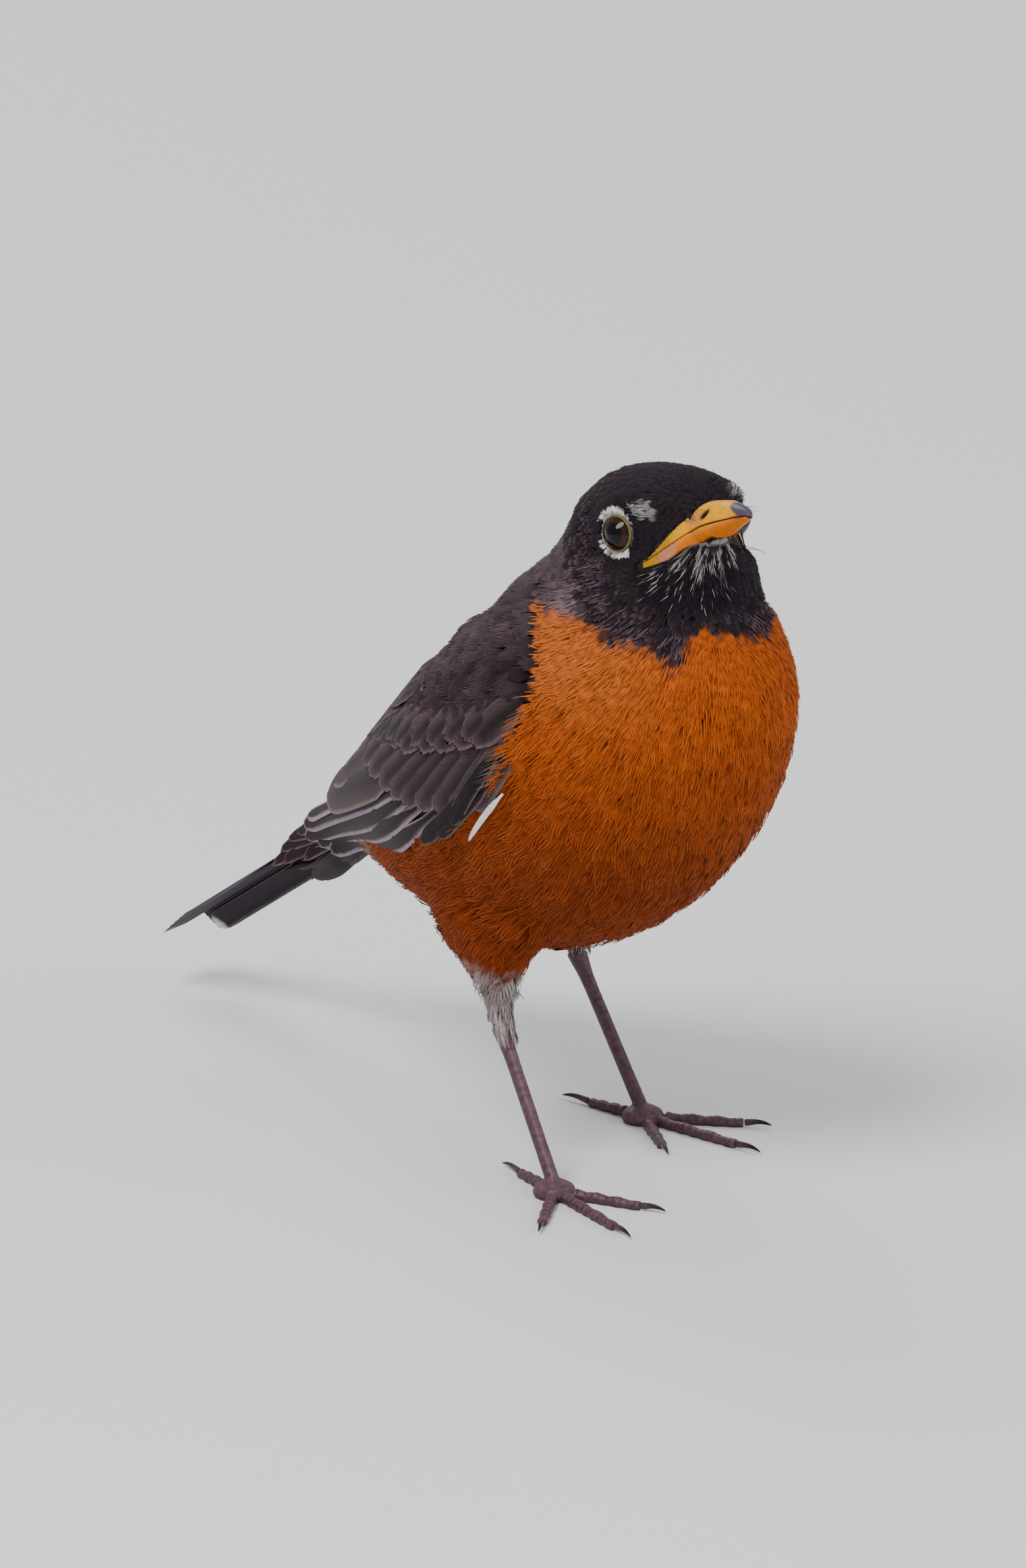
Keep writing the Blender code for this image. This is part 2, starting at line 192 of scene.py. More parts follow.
def around_eye(points, side):
    """Distance from an eye's axis, degrees upward from the bill's side, and height along the axis."""
    axis, front, up = eye_frame(side)
    offset = points - EYES[side]
    out = offset @ axis
    ahead, rise = offset @ front, offset @ up
    behind_the_head = 99.0
    far = np.where(out > -1, np.hypot(ahead, rise), behind_the_head)
    return far, np.degrees(np.arctan2(rise, ahead)), out


def bill_axes(points):
    """How far points lie behind the bill's tip, to its left and above its axis, in mm."""
    offset = points - BILL_TIP
    return -(offset @ BILL_AHEAD), offset @ TO_LEFT, offset @ BILL_UP


def eye_distance(points):
    return np.minimum(around_eye(points, "left")[0], around_eye(points, "right")[0])


def bill_distance(points):
    """How far points lie from the bill's root, in mm."""
    return np.linalg.norm(points - BILL_BASE, axis=1)


COAT_DEPTH = ([3, 8, 16, 26, 40, 60], [0.3, 0.6, 0.9, 1.2, 1.8, 2.3])  # by mm from the bill's root
LEG_COAT = 0.5


def coat_depth(points):
    """How deep the plumage lies over the skin, in mm: thinner round the eyes and down the legs."""
    depth = np.interp(bill_distance(points), *COAT_DEPTH)
    depth = depth - 0.35 * (1 - ease(eye_distance(points), 4, 9)) * depth
    leg = 1 - ease(points[:, 2], 28, 42)
    return depth * (1 - leg) + LEG_COAT * leg


# Lores and chin narrow toward the bill: mm behind its tip, with mm to one side.
LORE_WIDTH = ([15, 18, 20, 22, 24, 26, 28, 31], [3.2, 4.3, 5.5, 6.7, 7.9, 9.0, 10.6, 14.5])
CHIN_WIDTH = ([13, 15, 17, 19, 21, 23, 26], [2.2, 2.9, 3.9, 5.2, 6.9, 9.0, 13.0])
# The skin rises to a low brim round each eye: mm from the eye's axis, with mm out along it.
EYE_BRIM = ([0, 2.7, 3.2, 4.0, 6.0, 8.0], [1.6, 2.1, 2.45, 2.25, 1.5, 0.8])
skin_parts = [twin(f"skin_{node}", node) for node in FLESH + ["eye_left", "eye_right"]]
skin = fuse("skin", skin_parts, VOXEL, SWELL)
points = corners(skin)
keep = ease(points[:, 2], 30, 44) * (0.45 + 0.55 * ease(eye_distance(points), 4, 9))
smooth_out(skin, 0.6, 9, 0.12 + 0.88 * keep)
points = corners(skin)
set_corners(skin, points - vertex_normals(skin) * (coat_depth(points) + SWELL / MM)[:, None])
smooth_out(skin, 0.5, 2)
points = corners(skin)
behind, aside, high = bill_axes(points)
pinch = (1 - ease(np.abs(high + 0.3), 3.2, 7.0)) * ease(eye_distance(points), 4.0, 6.0) * (behind < 31)
spare = np.maximum(np.abs(aside) - np.interp(behind, *LORE_WIDTH), 0)
set_corners(skin, points - np.outer(np.sign(aside) * spare * pinch, TO_LEFT))
points = corners(skin)
behind, aside, high = bill_axes(points)
spare = np.maximum(aside - np.interp(behind, *CHIN_WIDTH), 0)
set_corners(skin, points - np.outer(spare * (1 - ease(np.abs(high + 4.5), 5.5, 9.0)), TO_LEFT))
for side in ("left", "right"):
    points = corners(skin)
    far, _, out = around_eye(points, side)
    lift = (np.interp(far, *EYE_BRIM) - out) * (1 - ease(far, 4.5, 8.0))
    set_corners(skin, points + np.outer(lift, eye_frame(side)[0]))
select_only(skin)
bpy.ops.object.mode_set(mode="EDIT")
bpy.ops.mesh.select_all(action="SELECT")
bpy.ops.uv.smart_project(angle_limit=math.radians(66), island_margin=0.004)
bpy.ops.object.mode_set(mode="OBJECT")
skin.data.uv_layers[0].name = "OFBake"
skin.data.polygons.foreach_set("use_smooth", np.ones(len(skin.data.polygons), bool))


def solid_of(things):
    """One search tree over several objects."""
    points, faces = [], []
    for thing in things:
        mesh = thing.data
        faces += [[index + len(points) for index in face.vertices] for face in mesh.polygons]
        points += [corner.co.copy() for corner in mesh.vertices]
    return BVHTree.FromPolygons(points, faces)


skin_form = solid_of([skin])

# ---------------------------------------------------------------- bill
# The robin's bill: two horny sheaths over bone, yellow with a slate tip, that close along the cutting
# edge and run back under the lores to the soft pink gape. Each half is a closed loft sunk into the face.
BILL_REACH = 26.8
BILL_START = 0.7
STATIONS = 130
SIDE_STEPS = 24
PALATE_STEPS = 8
# Each profile pairs mm behind the tip with mm above or beside the bill's own axis.
CULMEN = ([0.7, 1.1, 1.9, 3, 6.0, 8.5, 14, 17.5, 21, 26.8],
          [0.0, 0.5, 1.15, 1.8, 3.1, 3.95, 4.9, 5.2, 4.8, 3.6])
CUTTING_EDGE = ([0, 1.7, 4.3, 9, 12.5, 15, 18, 20, 22, 24, 26.8],
                [-0.45, 0.1, 0.35, 0.65, 0.8, 0.75, 0.3, -0.4, -1.15, -1.9, -2.8])
KEEL = ([1.1, 1.7, 3.7, 8.4, 12.6, 17.4, 19.5, 21, 22.5, 24.5, 26.8],
        [-0.6, -0.7, -0.85, -1.25, -1.75, -2.2, -2.7, -3.4, -4.0, -4.2, -4.3])
HALF_WIDTH = ([0.7, 1.1, 1.7, 2.7, 4.3, 6.5, 9.2, 12.5, 15, 18, 26.8],
              [0.1, 0.55, 0.85, 1.35, 1.8, 2.3, 2.9, 3.55, 4.1, 4.6, 9.0])
LORE_EDGE = ([13.5, 14.5, 16.2, 18.6, 21.6, 24, 26.2], [5.3, 4.7, 3.7, 2.5, 0.7, -1.0, -2.4])
NOSTRIL = (13.1, 2.55)
NOSTRIL_DEPTH = 0.9
GAPE_RIB = 0.62
BARE_RISE = 0.45  # how far the horn stands off the face, and how deep it sinks where plumage covers it
BURIED = 0.9
BESIDE = 40.0  # well outside the head
HORN_YELLOW = np.array((0.82, 0.345, 0.0))
HORN_ORANGE = np.array((0.62, 0.150, 0.0))
HORN_SLATE = np.array((0.075, 0.06, 0.10))
# A near-black for the horn: dark marks near the tip and along the cutting edge, and painted shade in the
# nostril and under the feathers at the bill's root.
HORN_MARK_AND_SHADE = np.array((0.07, 0.02, 0.008))
BARE_PINK = np.array((0.50, 0.19, 0.11))
GAPE_OLIVE = np.array((0.42, 0.21, 0.004))


def mix(first, second, share):
    """Colours blended row by row."""
    share = np.asarray(share)[:, None]
    return first * (1 - share) + second * share


def gauss(value, width):
    return np.exp(-((np.asarray(value) / width) ** 2))


def bill_place(behind, aside, high):
    """A point in mm from its place on the bill's own axes."""
    return (BILL_TIP - np.multiply.outer(behind, BILL_AHEAD) + np.multiply.outer(aside, TO_LEFT)
            + np.multiply.outer(high, BILL_UP))


def face_width(behind, high, sign):
    """Half the width of the bare face at a place beside the bill, or 0 ahead of it."""
    start = bill_place(behind, BESIDE * sign, high)
    hit = skin_form.ray_cast(Vector(start * MM), Vector(-TO_LEFT * sign), BESIDE * MM)[0]
    return 0.0 if hit is None else BESIDE - np.linalg.norm(np.array(hit) / MM - start)


def nostril_pit(behind, high):
    """1 in the slanting slit of the nostril, falling to 0 round it."""
    back, up = behind - NOSTRIL[0], high - NOSTRIL[1]
    return gauss(back + 0.5 * up, 1.2) * gauss(up + 0.2 * back, 0.68)


def face_outward(thing, shade=True):
    """Turns every face of a closed form outward."""
    select_only(thing)
    bpy.ops.object.mode_set(mode="EDIT")
    bpy.ops.mesh.select_all(action="SELECT")
    bpy.ops.mesh.normals_make_consistent(inside=False)
    bpy.ops.object.mode_set(mode="OBJECT")
    if shade:
        bpy.ops.object.shade_smooth()


def bill_ring(u, upper, slots):
    """The cross-section of one half at u mm behind the tip: left side, right side, then the palate."""
    half = np.interp(u, *HALF_WIDTH) * (1.0 if upper else 0.93)
    edge = np.interp(u, *CUTTING_EDGE) - (0.0 if upper else 0.16)
    crest = np.interp(u, *(CULMEN if upper else KEEL))
    turn = np.linspace(0, 1, SIDE_STEPS)
    free_high = edge + (crest - edge) * np.sin(turn * math.pi / 2) ** (0.95 if upper else 1.15)
    free_side = half * np.cos(turn * math.pi / 2) ** (0.8 if upper else 0.72)
    laid = ease(u, 15.5, 19.0)
    high = free_high * (1 - laid) + (edge + (crest - edge) * turn) * laid
    flanks = []
    for sign in (1, -1):
        side = free_side
        if laid > 0:
            face = np.array([face_width(u, h, sign) for h in high])
            if upper:
                shown = 1 - ease(high - np.interp(u, *LORE_EDGE), -0.1, 0.16)
            else:
                shown = ease(high - crest, 0.0, 0.6)
            if sign == 1 and not upper:
                shown = shown * (1 - ease(u, 17.6, 19.2))
            on_face = np.where(face > 0, face + BARE_RISE * shown - BURIED * (1 - shown), side)
            side = side * (1 - laid) + on_face * laid
        flanks.append(np.stack([np.full(SIDE_STEPS, u), side * sign, high], axis=1))
    inside = np.linspace(-1, 1, PALATE_STEPS + 3)[1:-1]
    recess = edge + (0.3 if upper else -0.3) * (1 - inside**2)
    palate = np.stack([np.full(len(inside), u), inside * flanks[0][0, 1] * 0.96, recess], axis=1)
    return np.concatenate([flanks[0], flanks[1][::-1], palate[:slots - 2 * SIDE_STEPS]])


def bill_half(name, upper):
    """One half of the bill: a ring at each station, laid on the face where that is wider than the bill."""
    bpy.ops.object.select_all(action="DESELECT")
    around = 2 * SIDE_STEPS + PALATE_STEPS
    bpy.ops.mesh.primitive_grid_add(x_subdivisions=around, y_subdivisions=STATIONS - 1, size=1)
    horn = bpy.context.object
    horn.name = name
    start = BILL_START + (0 if upper else 0.5)
    behind = start + (BILL_REACH - start) * np.linspace(0, 1, STATIONS) ** 1.25
    local = np.concatenate([bill_ring(u, upper, around + 1) for u in behind])
    back, _, high = local.T
    if upper:
        local[:, 1] -= np.sign(local[:, 1]) * NOSTRIL_DEPTH * nostril_pit(back, high)
    else:
        gape = ease(back, 19.4, 20.2) * (1 - ease(back, 23.6, 24.6))
        ribs = np.sin((back + high * 0.55) * 2 * math.pi / GAPE_RIB)
        local[:, 1] += np.sign(local[:, 1]) * 0.11 * gape * ribs
    set_corners(horn, bill_place(*local.T))
    select_only(horn)
    bpy.ops.object.mode_set(mode="EDIT")
    bpy.ops.mesh.select_all(action="SELECT")
    bpy.ops.mesh.delete_loose()
    bpy.ops.mesh.select_all(action="DESELECT")
    bpy.ops.mesh.select_non_manifold()
    bpy.ops.mesh.fill_holes(sides=0)
    bpy.ops.object.mode_set(mode="OBJECT")
    face_outward(horn)
    return horn


def paint(thing, name, colours):
    """Stores one colour for each vertex."""
    layer = thing.data.color_attributes.new(name, "FLOAT_COLOR", "POINT")
    values = np.ones((len(thing.data.vertices), 4), np.float32)
    values[:, :3] = colours
    layer.data.foreach_set("color", values.ravel())


def place_all(thing, name, vectors):
    """Stores one vector for each vertex."""
    layer = thing.data.attributes.new(name, "FLOAT_VECTOR", "POINT")
    layer.data.foreach_set("vector", vectors.astype(np.float32).ravel())


def new_material(name, **numbers):
    """A material whose shader has the numbers given, by socket name with _ for a space."""
    made = bpy.data.materials.new(name)
    made.use_nodes = True
    shader = made.node_tree.nodes["Principled BSDF"]
    for key, value in numbers.items():
        shader.inputs[key.replace("_", " ")].default_value = value
    return made, made.node_tree, shader


def node_of(tree, kind, inputs, **settings):
    """A shader node: each of its inputs is a number, or another node's output that feeds it."""
    made = tree.nodes.new(kind)
    for key, value in settings.items():
        setattr(made, key, value)
    for key, value in inputs.items():
        if isinstance(value, bpy.types.NodeSocket):
            tree.links.new(value, made.inputs[key])
        else:
            made.inputs[key].default_value = value
    return made


def attribute_of(tree, name, output):
    return node_of(tree, "ShaderNodeAttribute", {}, attribute_name=name).outputs[output]


def noise_of(tree, inputs):
    return node_of(tree, "ShaderNodeTexNoise", inputs).outputs["Fac"]


def spread_of(tree, value, low, high):
    """Stretches a noise's middle range to run from low to high."""
    ends = {"Value": value, "From Min": 0.3, "From Max": 0.7, "To Min": low, "To Max": high}
    return node_of(tree, "ShaderNodeMapRange", ends).outputs["Result"]


def scale_tint(tree, shader, amount):
    """The painted colour, made lighter or darker by an amount."""
    inputs = {0: attribute_of(tree, "tint", "Color"), "Scale": amount}
    tone = node_of(tree, "ShaderNodeVectorMath", inputs, operation="SCALE")
    tree.links.new(tone.outputs["Vector"], shader.inputs["Base Color"])


def roughen(tree, shader, height, strength, distance):
    inputs = {"Strength": strength, "Distance": distance * MM, "Height": height}
    bump = node_of(tree, "ShaderNodeBump", inputs)
    tree.links.new(bump.outputs["Normal"], shader.inputs["Normal"])


def horn_finish(name, roughness, mottle, scale):
    """Waxy horn: its painted colour, broken by fine mottling, under a thin gloss."""
    made, tree, shader = new_material(name, Roughness=roughness, Specular_IOR_Level=0.15, Coat_Weight=0.03,
                                      Coat_Roughness=0.25)
    place = node_of(tree, "ShaderNodeTexCoord", {}).outputs["Object"]
    grain = noise_of(tree, {"Scale": scale, "Detail": 5, "Vector": place})
    scale_tint(tree, shader, spread_of(tree, grain, 1 - mottle, 1 + mottle * 0.6))
    roughen(tree, shader, grain, 0.35, 0.08)
    return made


def colour_bill(horn, upper):
    u, _, high = bill_axes(corners(horn))
    edge, crest = np.interp(u, *CUTTING_EDGE), np.interp(u, *(CULMEN if upper else KEEL))
    share = np.clip((high - edge) / (crest - edge), 0, 1)
    if upper:
        tone = mix(HORN_YELLOW, GAPE_OLIVE, ease(u, 19.0, 22.5))
        tone = mix(tone, BARE_PINK, 0.85 * gauss(u - 15.6, 1.9) * gauss(high - 2.4, 1.2))
        # Painted shade in the nostril's pit.
        tone = mix(tone, HORN_MARK_AND_SHADE * 0.25, ease(nostril_pit(u, high), 0.25, 0.6))
        tone = mix(tone, HORN_SLATE, 1 - ease(u - 2.6 - 3.6 * share, -0.45, 0.55))
        tone = mix(tone, HORN_MARK_AND_SHADE, gauss(u - 3.6, 1.6) * gauss(high - edge, 0.35) * 0.9)
        # Painted shade: the horn is near-black where the brow feathers cover it.
        feather_shade = ease(high - np.interp(u, *LORE_EDGE), -0.15, 0.2) * ease(u, 13.3, 14.0)
    else:
        tone = mix(HORN_ORANGE, HORN_YELLOW, 0.55 * (1 - ease(share, 0.0, 0.5)) * ease(u, 4, 10))
        tone = mix(tone, BARE_PINK, ease(u - 19.6 - 1.5 * share, -0.35, 0.45))
        tone = mix(tone, GAPE_OLIVE, ease(u - 0.3 * share, 23.0, 24.2))
        tone = mix(tone, HORN_MARK_AND_SHADE, gauss(u - 2.4, 1.9) * gauss(share, 0.45))
        # Painted shade: the horn is near-black where the chin feathers cover it.
        feather_shade = (1 - ease(high - crest, 0.35, 0.6)) * ease(u, 12.9, 13.6)
    tone = mix(tone, HORN_MARK_AND_SHADE * 0.3, feather_shade)
    line = gauss(high - edge, 0.10 if upper else 0.16)
    paint(horn, "tint", mix(tone, HORN_MARK_AND_SHADE, 0.55 * line * ease(u, 1.0, 4.0)))


bill_finish = horn_finish("bill_horn", 0.36, 0.14, 1400)
bill = {}
for half in ("upper", "lower"):
    horn = bill_half(f"bill_{half}_sheath", half == "upper")
    colour_bill(horn, half == "upper")
    horn.data.materials.append(bill_finish)
    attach(horn, "root")
    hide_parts(f"bill_{half}")
    bill[half] = horn

# Rictal bristles: stiff black hairs at the corners of the mouth and on the chin, each a tapered curve.
BRISTLE_STEPS = 10
BRISTLE_SIDES = 5


def thing_of(name, points, faces):
    """A smooth object from points in mm and faces."""
    mesh = bpy.data.meshes.new(name)
    mesh.from_pydata((points * MM).tolist(), [], faces)
    mesh.polygons.foreach_set("use_smooth", np.ones(len(faces), bool))
    thing = bpy.data.objects.new(name, mesh)
    bpy.context.scene.collection.objects.link(thing)
    return thing


def map_places(thing, places):
    """Stores the OFBake map from a place for each vertex."""
    chart = thing.data.uv_layers.new(name="OFBake")
    corner = rows_of(thing.data.loops, "vertex_index", 1, np.int32).ravel()
    chart.data.foreach_set("uv", places.reshape(-1, 2)[corner].astype(np.float32).ravel())


def map_each(thing, count, rows, columns):
    """The OFBake map of joined strips: a square of its own for each grid of rows by columns vertices."""
    side = math.ceil(math.sqrt(count))
    column, row = np.meshgrid(np.linspace(0.06, 0.94, columns), np.linspace(0.06, 0.94, rows))
    cell = np.stack([column, row], axis=2).reshape(-1, 2)
    corner = np.array([(index % side, index // side) for index in range(count)])
    map_places(thing, (corner[:, None] + cell[None]) / side)


def bristles(name, starts, ends, sag, thick):
    """Tapered hairs from start to end, bowed by their sag, joined as one mesh."""
    share = np.linspace(0, 1, BRISTLE_STEPS)
    turn = np.linspace(0, 2 * math.pi, BRISTLE_SIDES, endpoint=False)
    points, faces = [], []
    for start, end, bow in zip(starts, ends, sag):
        base = len(points)
        line = start + np.outer(share, end - start) + np.outer(share * (1 - share) * 4, bow)
        ahead = unit(np.gradient(line, axis=0))
        side = unit(np.cross(ahead, BILL_UP + 0.01))
        over = np.cross(side, ahead)
        radius = thick * (1 - 0.85 * share)
        for row in range(BRISTLE_STEPS):
            circle = np.outer(np.cos(turn), side[row]) + np.outer(np.sin(turn), over[row])
            points += list(line[row] + radius[row] * circle)
        for row in range(BRISTLE_STEPS - 1):
            first = base + row * BRISTLE_SIDES
            for k in range(BRISTLE_SIDES):
                a, b = first + k, first + (k + 1) % BRISTLE_SIDES
                faces.append((a, b, b + BRISTLE_SIDES, a + BRISTLE_SIDES))
        faces.append(tuple(range(base + BRISTLE_SIDES - 1, base - 1, -1)))
        last = base + (BRISTLE_STEPS - 1) * BRISTLE_SIDES
        faces.append(tuple(range(last, last + BRISTLE_SIDES)))
    thing = thing_of(name, np.array(points), faces)
    map_each(thing, len(starts), BRISTLE_STEPS, BRISTLE_SIDES)
    face_outward(thing, False)
    return thing


starts, ends, sag = [], [], []
for sign in (1, -1):
    for count in range(7):
        u = 15.5 + 0.95 * count
        high = np.interp(u, *LORE_EDGE) - 0.1 if count < 4 else np.interp(u, *KEEL) - 0.2
        wide = max(face_width(u, high, sign), np.interp(u, *HALF_WIDTH) * 0.9)
        starts.append(bill_place(u, wide * sign, high))
        reach = random.uniform(6.5, 9.5)
        apart = random.uniform(0.6, 2.4)
        ends.append(bill_place(u - reach, (wide + apart) * sign, high - random.uniform(1.2, 3.6)))
        sag.append(BILL_UP * random.uniform(0.2, 0.6) + TO_LEFT * sign * 0.4)
hairs = bristles("rictal_bristles", starts, ends, sag, 0.07)
paint(hairs, "tint", 0.012)
hairs.data.materials.append(horn_finish("bristle_horn", 0.45, 0.3, 900))
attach(hairs, "root")

# ---------------------------------------------------------------- eyes and lids
# Dark brown eyes, each a wet ball with a raised clear front, set in a bare ring of olive lid skin. The
# lids are thick folds that hold the ball and stand a little proud of the feathers round it.
IRIS_RADIUS = 2.95
PUPIL_RADIUS = 2.0
EYE_SPAN = 4.2
LID_RADIUS = 3.10
LID_THICK = 0.24
LID_OLIVE = np.array((0.17, 0.14, 0.045))
LID_BROWN = np.array((0.12, 0.07, 0.035))
EYE_BLACK = (0.003, 0.002, 0.002)
IRIS_DARK = (0.022, 0.007, 0.003)
IRIS_BROWN = (0.034, 0.011, 0.004)
EYE_EDGE = (0.008, 0.004, 0.003)


def eye_finish():
    """A black pupil and brown iris, mapped by distance from the eye's axis, under a wet clear coat."""
    made, tree, shader = new_material("eye_wet", Roughness=0.5, Specular_IOR_Level=0.0, Coat_Weight=1.0,
                                      Coat_Roughness=0.03, Coat_IOR=1.3)
    place = attribute_of(tree, "iris", "Vector")
    parts = node_of(tree, "ShaderNodeSeparateXYZ", {"Vector": place})
    stretch = node_of(tree, "ShaderNodeMapping", {"Vector": place, "Scale": (1.2, 7, 7)})
    fibres = noise_of(tree, {"Scale": 1.0, "Detail": 4, "Vector": stretch.outputs["Vector"]})
    ripple = 0.35
    shift = node_of(tree, "ShaderNodeMath", {0: fibres, 1: ripple, 2: parts.outputs["X"]},
                    operation="MULTIPLY_ADD")
    scaled = node_of(tree, "ShaderNodeMapRange", {"Value": shift.outputs["Value"], "From Min": ripple / 2,
                                                  "From Max": EYE_SPAN + ripple / 2})
    ramp = node_of(tree, "ShaderNodeValToRGB", {"Fac": scaled.outputs["Result"]})
    pupil, iris = PUPIL_RADIUS / EYE_SPAN, IRIS_RADIUS / EYE_SPAN
    stops = [(0.0, (0.002, 0.002, 0.003)), (pupil, EYE_BLACK), (pupil + 0.035, IRIS_DARK),
             (2.4 / EYE_SPAN, IRIS_BROWN), (iris - 0.03, IRIS_DARK), (iris + 0.02, EYE_EDGE)]
    for number, (position, colour) in enumerate(stops):
        known = number < 2
        stop = ramp.color_ramp.elements[number] if known else ramp.color_ramp.elements.new(position)
        stop.position = position
        stop.color = (*colour, 1)
    tree.links.new(ramp.outputs["Color"], shader.inputs["Base Color"])
    return made


def set_in_eye(thing, side, local):
    """Moves an object whose corners are given ahead of, above and out from an eye's centre."""
    axis, front, up = eye_frame(side)
    set_corners(thing, local @ np.stack([front, up, axis]) + EYES[side])
    face_outward(thing)


def eye_ball(side):
    bpy.ops.object.select_all(action="DESELECT")
    bpy.ops.mesh.primitive_uv_sphere_add(segments=64, ring_count=64, radius=EYE_RADIUS * 0.97 * MM)
    ball = bpy.context.object
    ball.name = f"eye_{side}_ball"
    local = corners(ball)
    far = np.hypot(local[:, 0], local[:, 1])
    local[:, 2] += np.where(local[:, 2] > 0, 0.42 * (1 - ease(far, 0.0, 3.1)), 0)
    set_in_eye(ball, side, local)
    spoke = np.maximum(far, 1e-6)
    from_axis = np.where(local[:, 2] > 0, far, EYE_SPAN)
    place_all(ball, "iris", np.stack([from_axis, local[:, 0] / spoke, local[:, 1] / spoke], axis=1))
    ball.data.materials.append(wet_eye)
    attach(ball, "root")
    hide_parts(f"eye_{side}")


def eye_lid(side):
    """The bare ring round the eye: a wrinkled fold, thicker toward the bill."""
    bpy.ops.object.select_all(action="DESELECT")
    bpy.ops.mesh.primitive_torus_add(major_radius=LID_RADIUS * MM, minor_radius=LID_THICK * MM,
                                     major_segments=160, minor_segments=16)
    lid = bpy.context.object
    lid.name = f"lid_{side}"
    local = corners(lid)
    turn = np.arctan2(local[:, 1], local[:, 0])
    far = np.hypot(local[:, 0], local[:, 1]) - LID_RADIUS
    thick = 1 + 0.12 * np.cos(turn - 0.5) + 0.05 * np.sin(turn * 37) + 0.05 * np.sin(turn * 23 + 1)
    radius = LID_RADIUS + 0.05 * np.cos(turn * 2) + far * thick
    out = local[:, 2] * thick * 1.15 + 2.5
    set_in_eye(lid, side, np.stack([np.cos(turn) * radius, np.sin(turn) * radius, out], axis=1))
    tone = mix(LID_BROWN, LID_OLIVE, 0.5 + 0.5 * np.cos(turn - 0.5))
    # Painted shade: the inner side of the ring, where it meets the ball, is darkened.
    paint(lid, "tint", mix(tone, LID_BROWN * 0.25, 1 - ease(far, -0.26, -0.08)))
    lid.data.materials.append(lid_finish)
    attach(lid, "root")


wet_eye = eye_finish()
lid_finish = horn_finish("lid_skin", 0.5, 0.35, 2600)
for side in ("left", "right"):
    eye_ball(side)
    eye_lid(side)

# ---------------------------------------------------------------- markings
# The robin's pattern, used by skin and feathers alike: a black hood streaked white on the throat, white
# arcs round the eye, grey-brown back and wings, brick-orange breast and a white vent. The breast also
# carries painted shade toward the belly and a painted highlight on its upper right.
NECK_CENTRE = np.array((MIDLINE, -62.5))
# The hood's lower edge: degrees round the neck from the front, with mm over the floor.
HOOD_TURN = [-180, -150, -125, -105, -80, -62, -46, -37, -28, -18, 0, 21, 35, 50, 80, 105, 125, 150, 180]
HOOD_EDGE = [119, 118, 114, 109, 105, 104, 103.5, 100.5, 104, 107, 106, 104, 104, 105.5, 105, 109, 114,
             118, 119]
# Each outline of a white arc pairs degrees round the eye with mm from its axis.
ARC_ABOVE = ([20, 34, 70, 100, 150, 170, 178], [3.0, 3.9, 4.3, 4.7, 4.85, 4.5, 3.0])
ARC_BELOW = ([186, 194, 230, 270], [3.0, 4.6, 4.6, 4.4])
ARC_FRONT = ([-90, -62, -46, -36], [4.4, 4.8, 4.7, 3.0])
BROW_SPOT = {"right": (5.4, 5.2), "left": (7.6, 7.3)}  # mm ahead of each eye's axis and above it
SHOULDER_SPOT = np.array((-25.2, -54.6, 109.7))
SHOULDER_SIZE = np.array((5, 5, 3.4))
ORANGE = np.array((0.46, 0.082, 0.005))
# The breast's orange in painted shade, toward the belly.
ORANGE_IN_SHADE = np.array((0.17, 0.024, 0.002))
PALE_ORANGE = np.array((0.74, 0.25, 0.062))
BLACK = np.array((0.016, 0.010, 0.015))
HOOD_FRINGE = np.array((0.18, 0.125, 0.145))
WHITE = np.array((0.80, 0.77, 0.74))
MANTLE = np.array((0.070, 0.048, 0.053))
MANTLE_FRINGE = np.array((0.16, 0.115, 0.125))
LILAC = np.array((0.28, 0.21, 0.25))
WING_DARK = np.array((0.022, 0.014, 0.016))
WING_BROWN = np.array((0.078, 0.051, 0.057))
WING_FRINGE = np.array((0.19, 0.125, 0.12))
CUFF = np.array((0.26, 0.22, 0.22))
# Where each marking fades in or out, in mm. The back's is up a line that slopes as the body does.
BACK_SLOPE = (0.62, 0.79)
BACK_FADE = (54.5, 57.5)
NAPE_FADE = (106.2, 108.6)
HOOD_FADE = (-0.6, 0.6)
VENT_START = (-4, 13)
VENT_TOP = (44, 52)
VENT_SIDE = (8, 15)
CUFF_FADE = (31, 37)
CHIN_LINE = ([18, 21], [-0.6, -1.6])  # the white's upper edge: mm behind the bill's tip, mm over its axis
THROAT_SIDE = (3.4, 5.8)
THROAT_END = (9, 19)
THROAT_BACK = (9, 14)
CHIN_END = (4.0, 8.0)


def back_height(points):
    """Height over the belly side of the sloping back, in mm."""
    return BACK_SLOPE[0] * points[:, 1] + BACK_SLOPE[1] * points[:, 2]


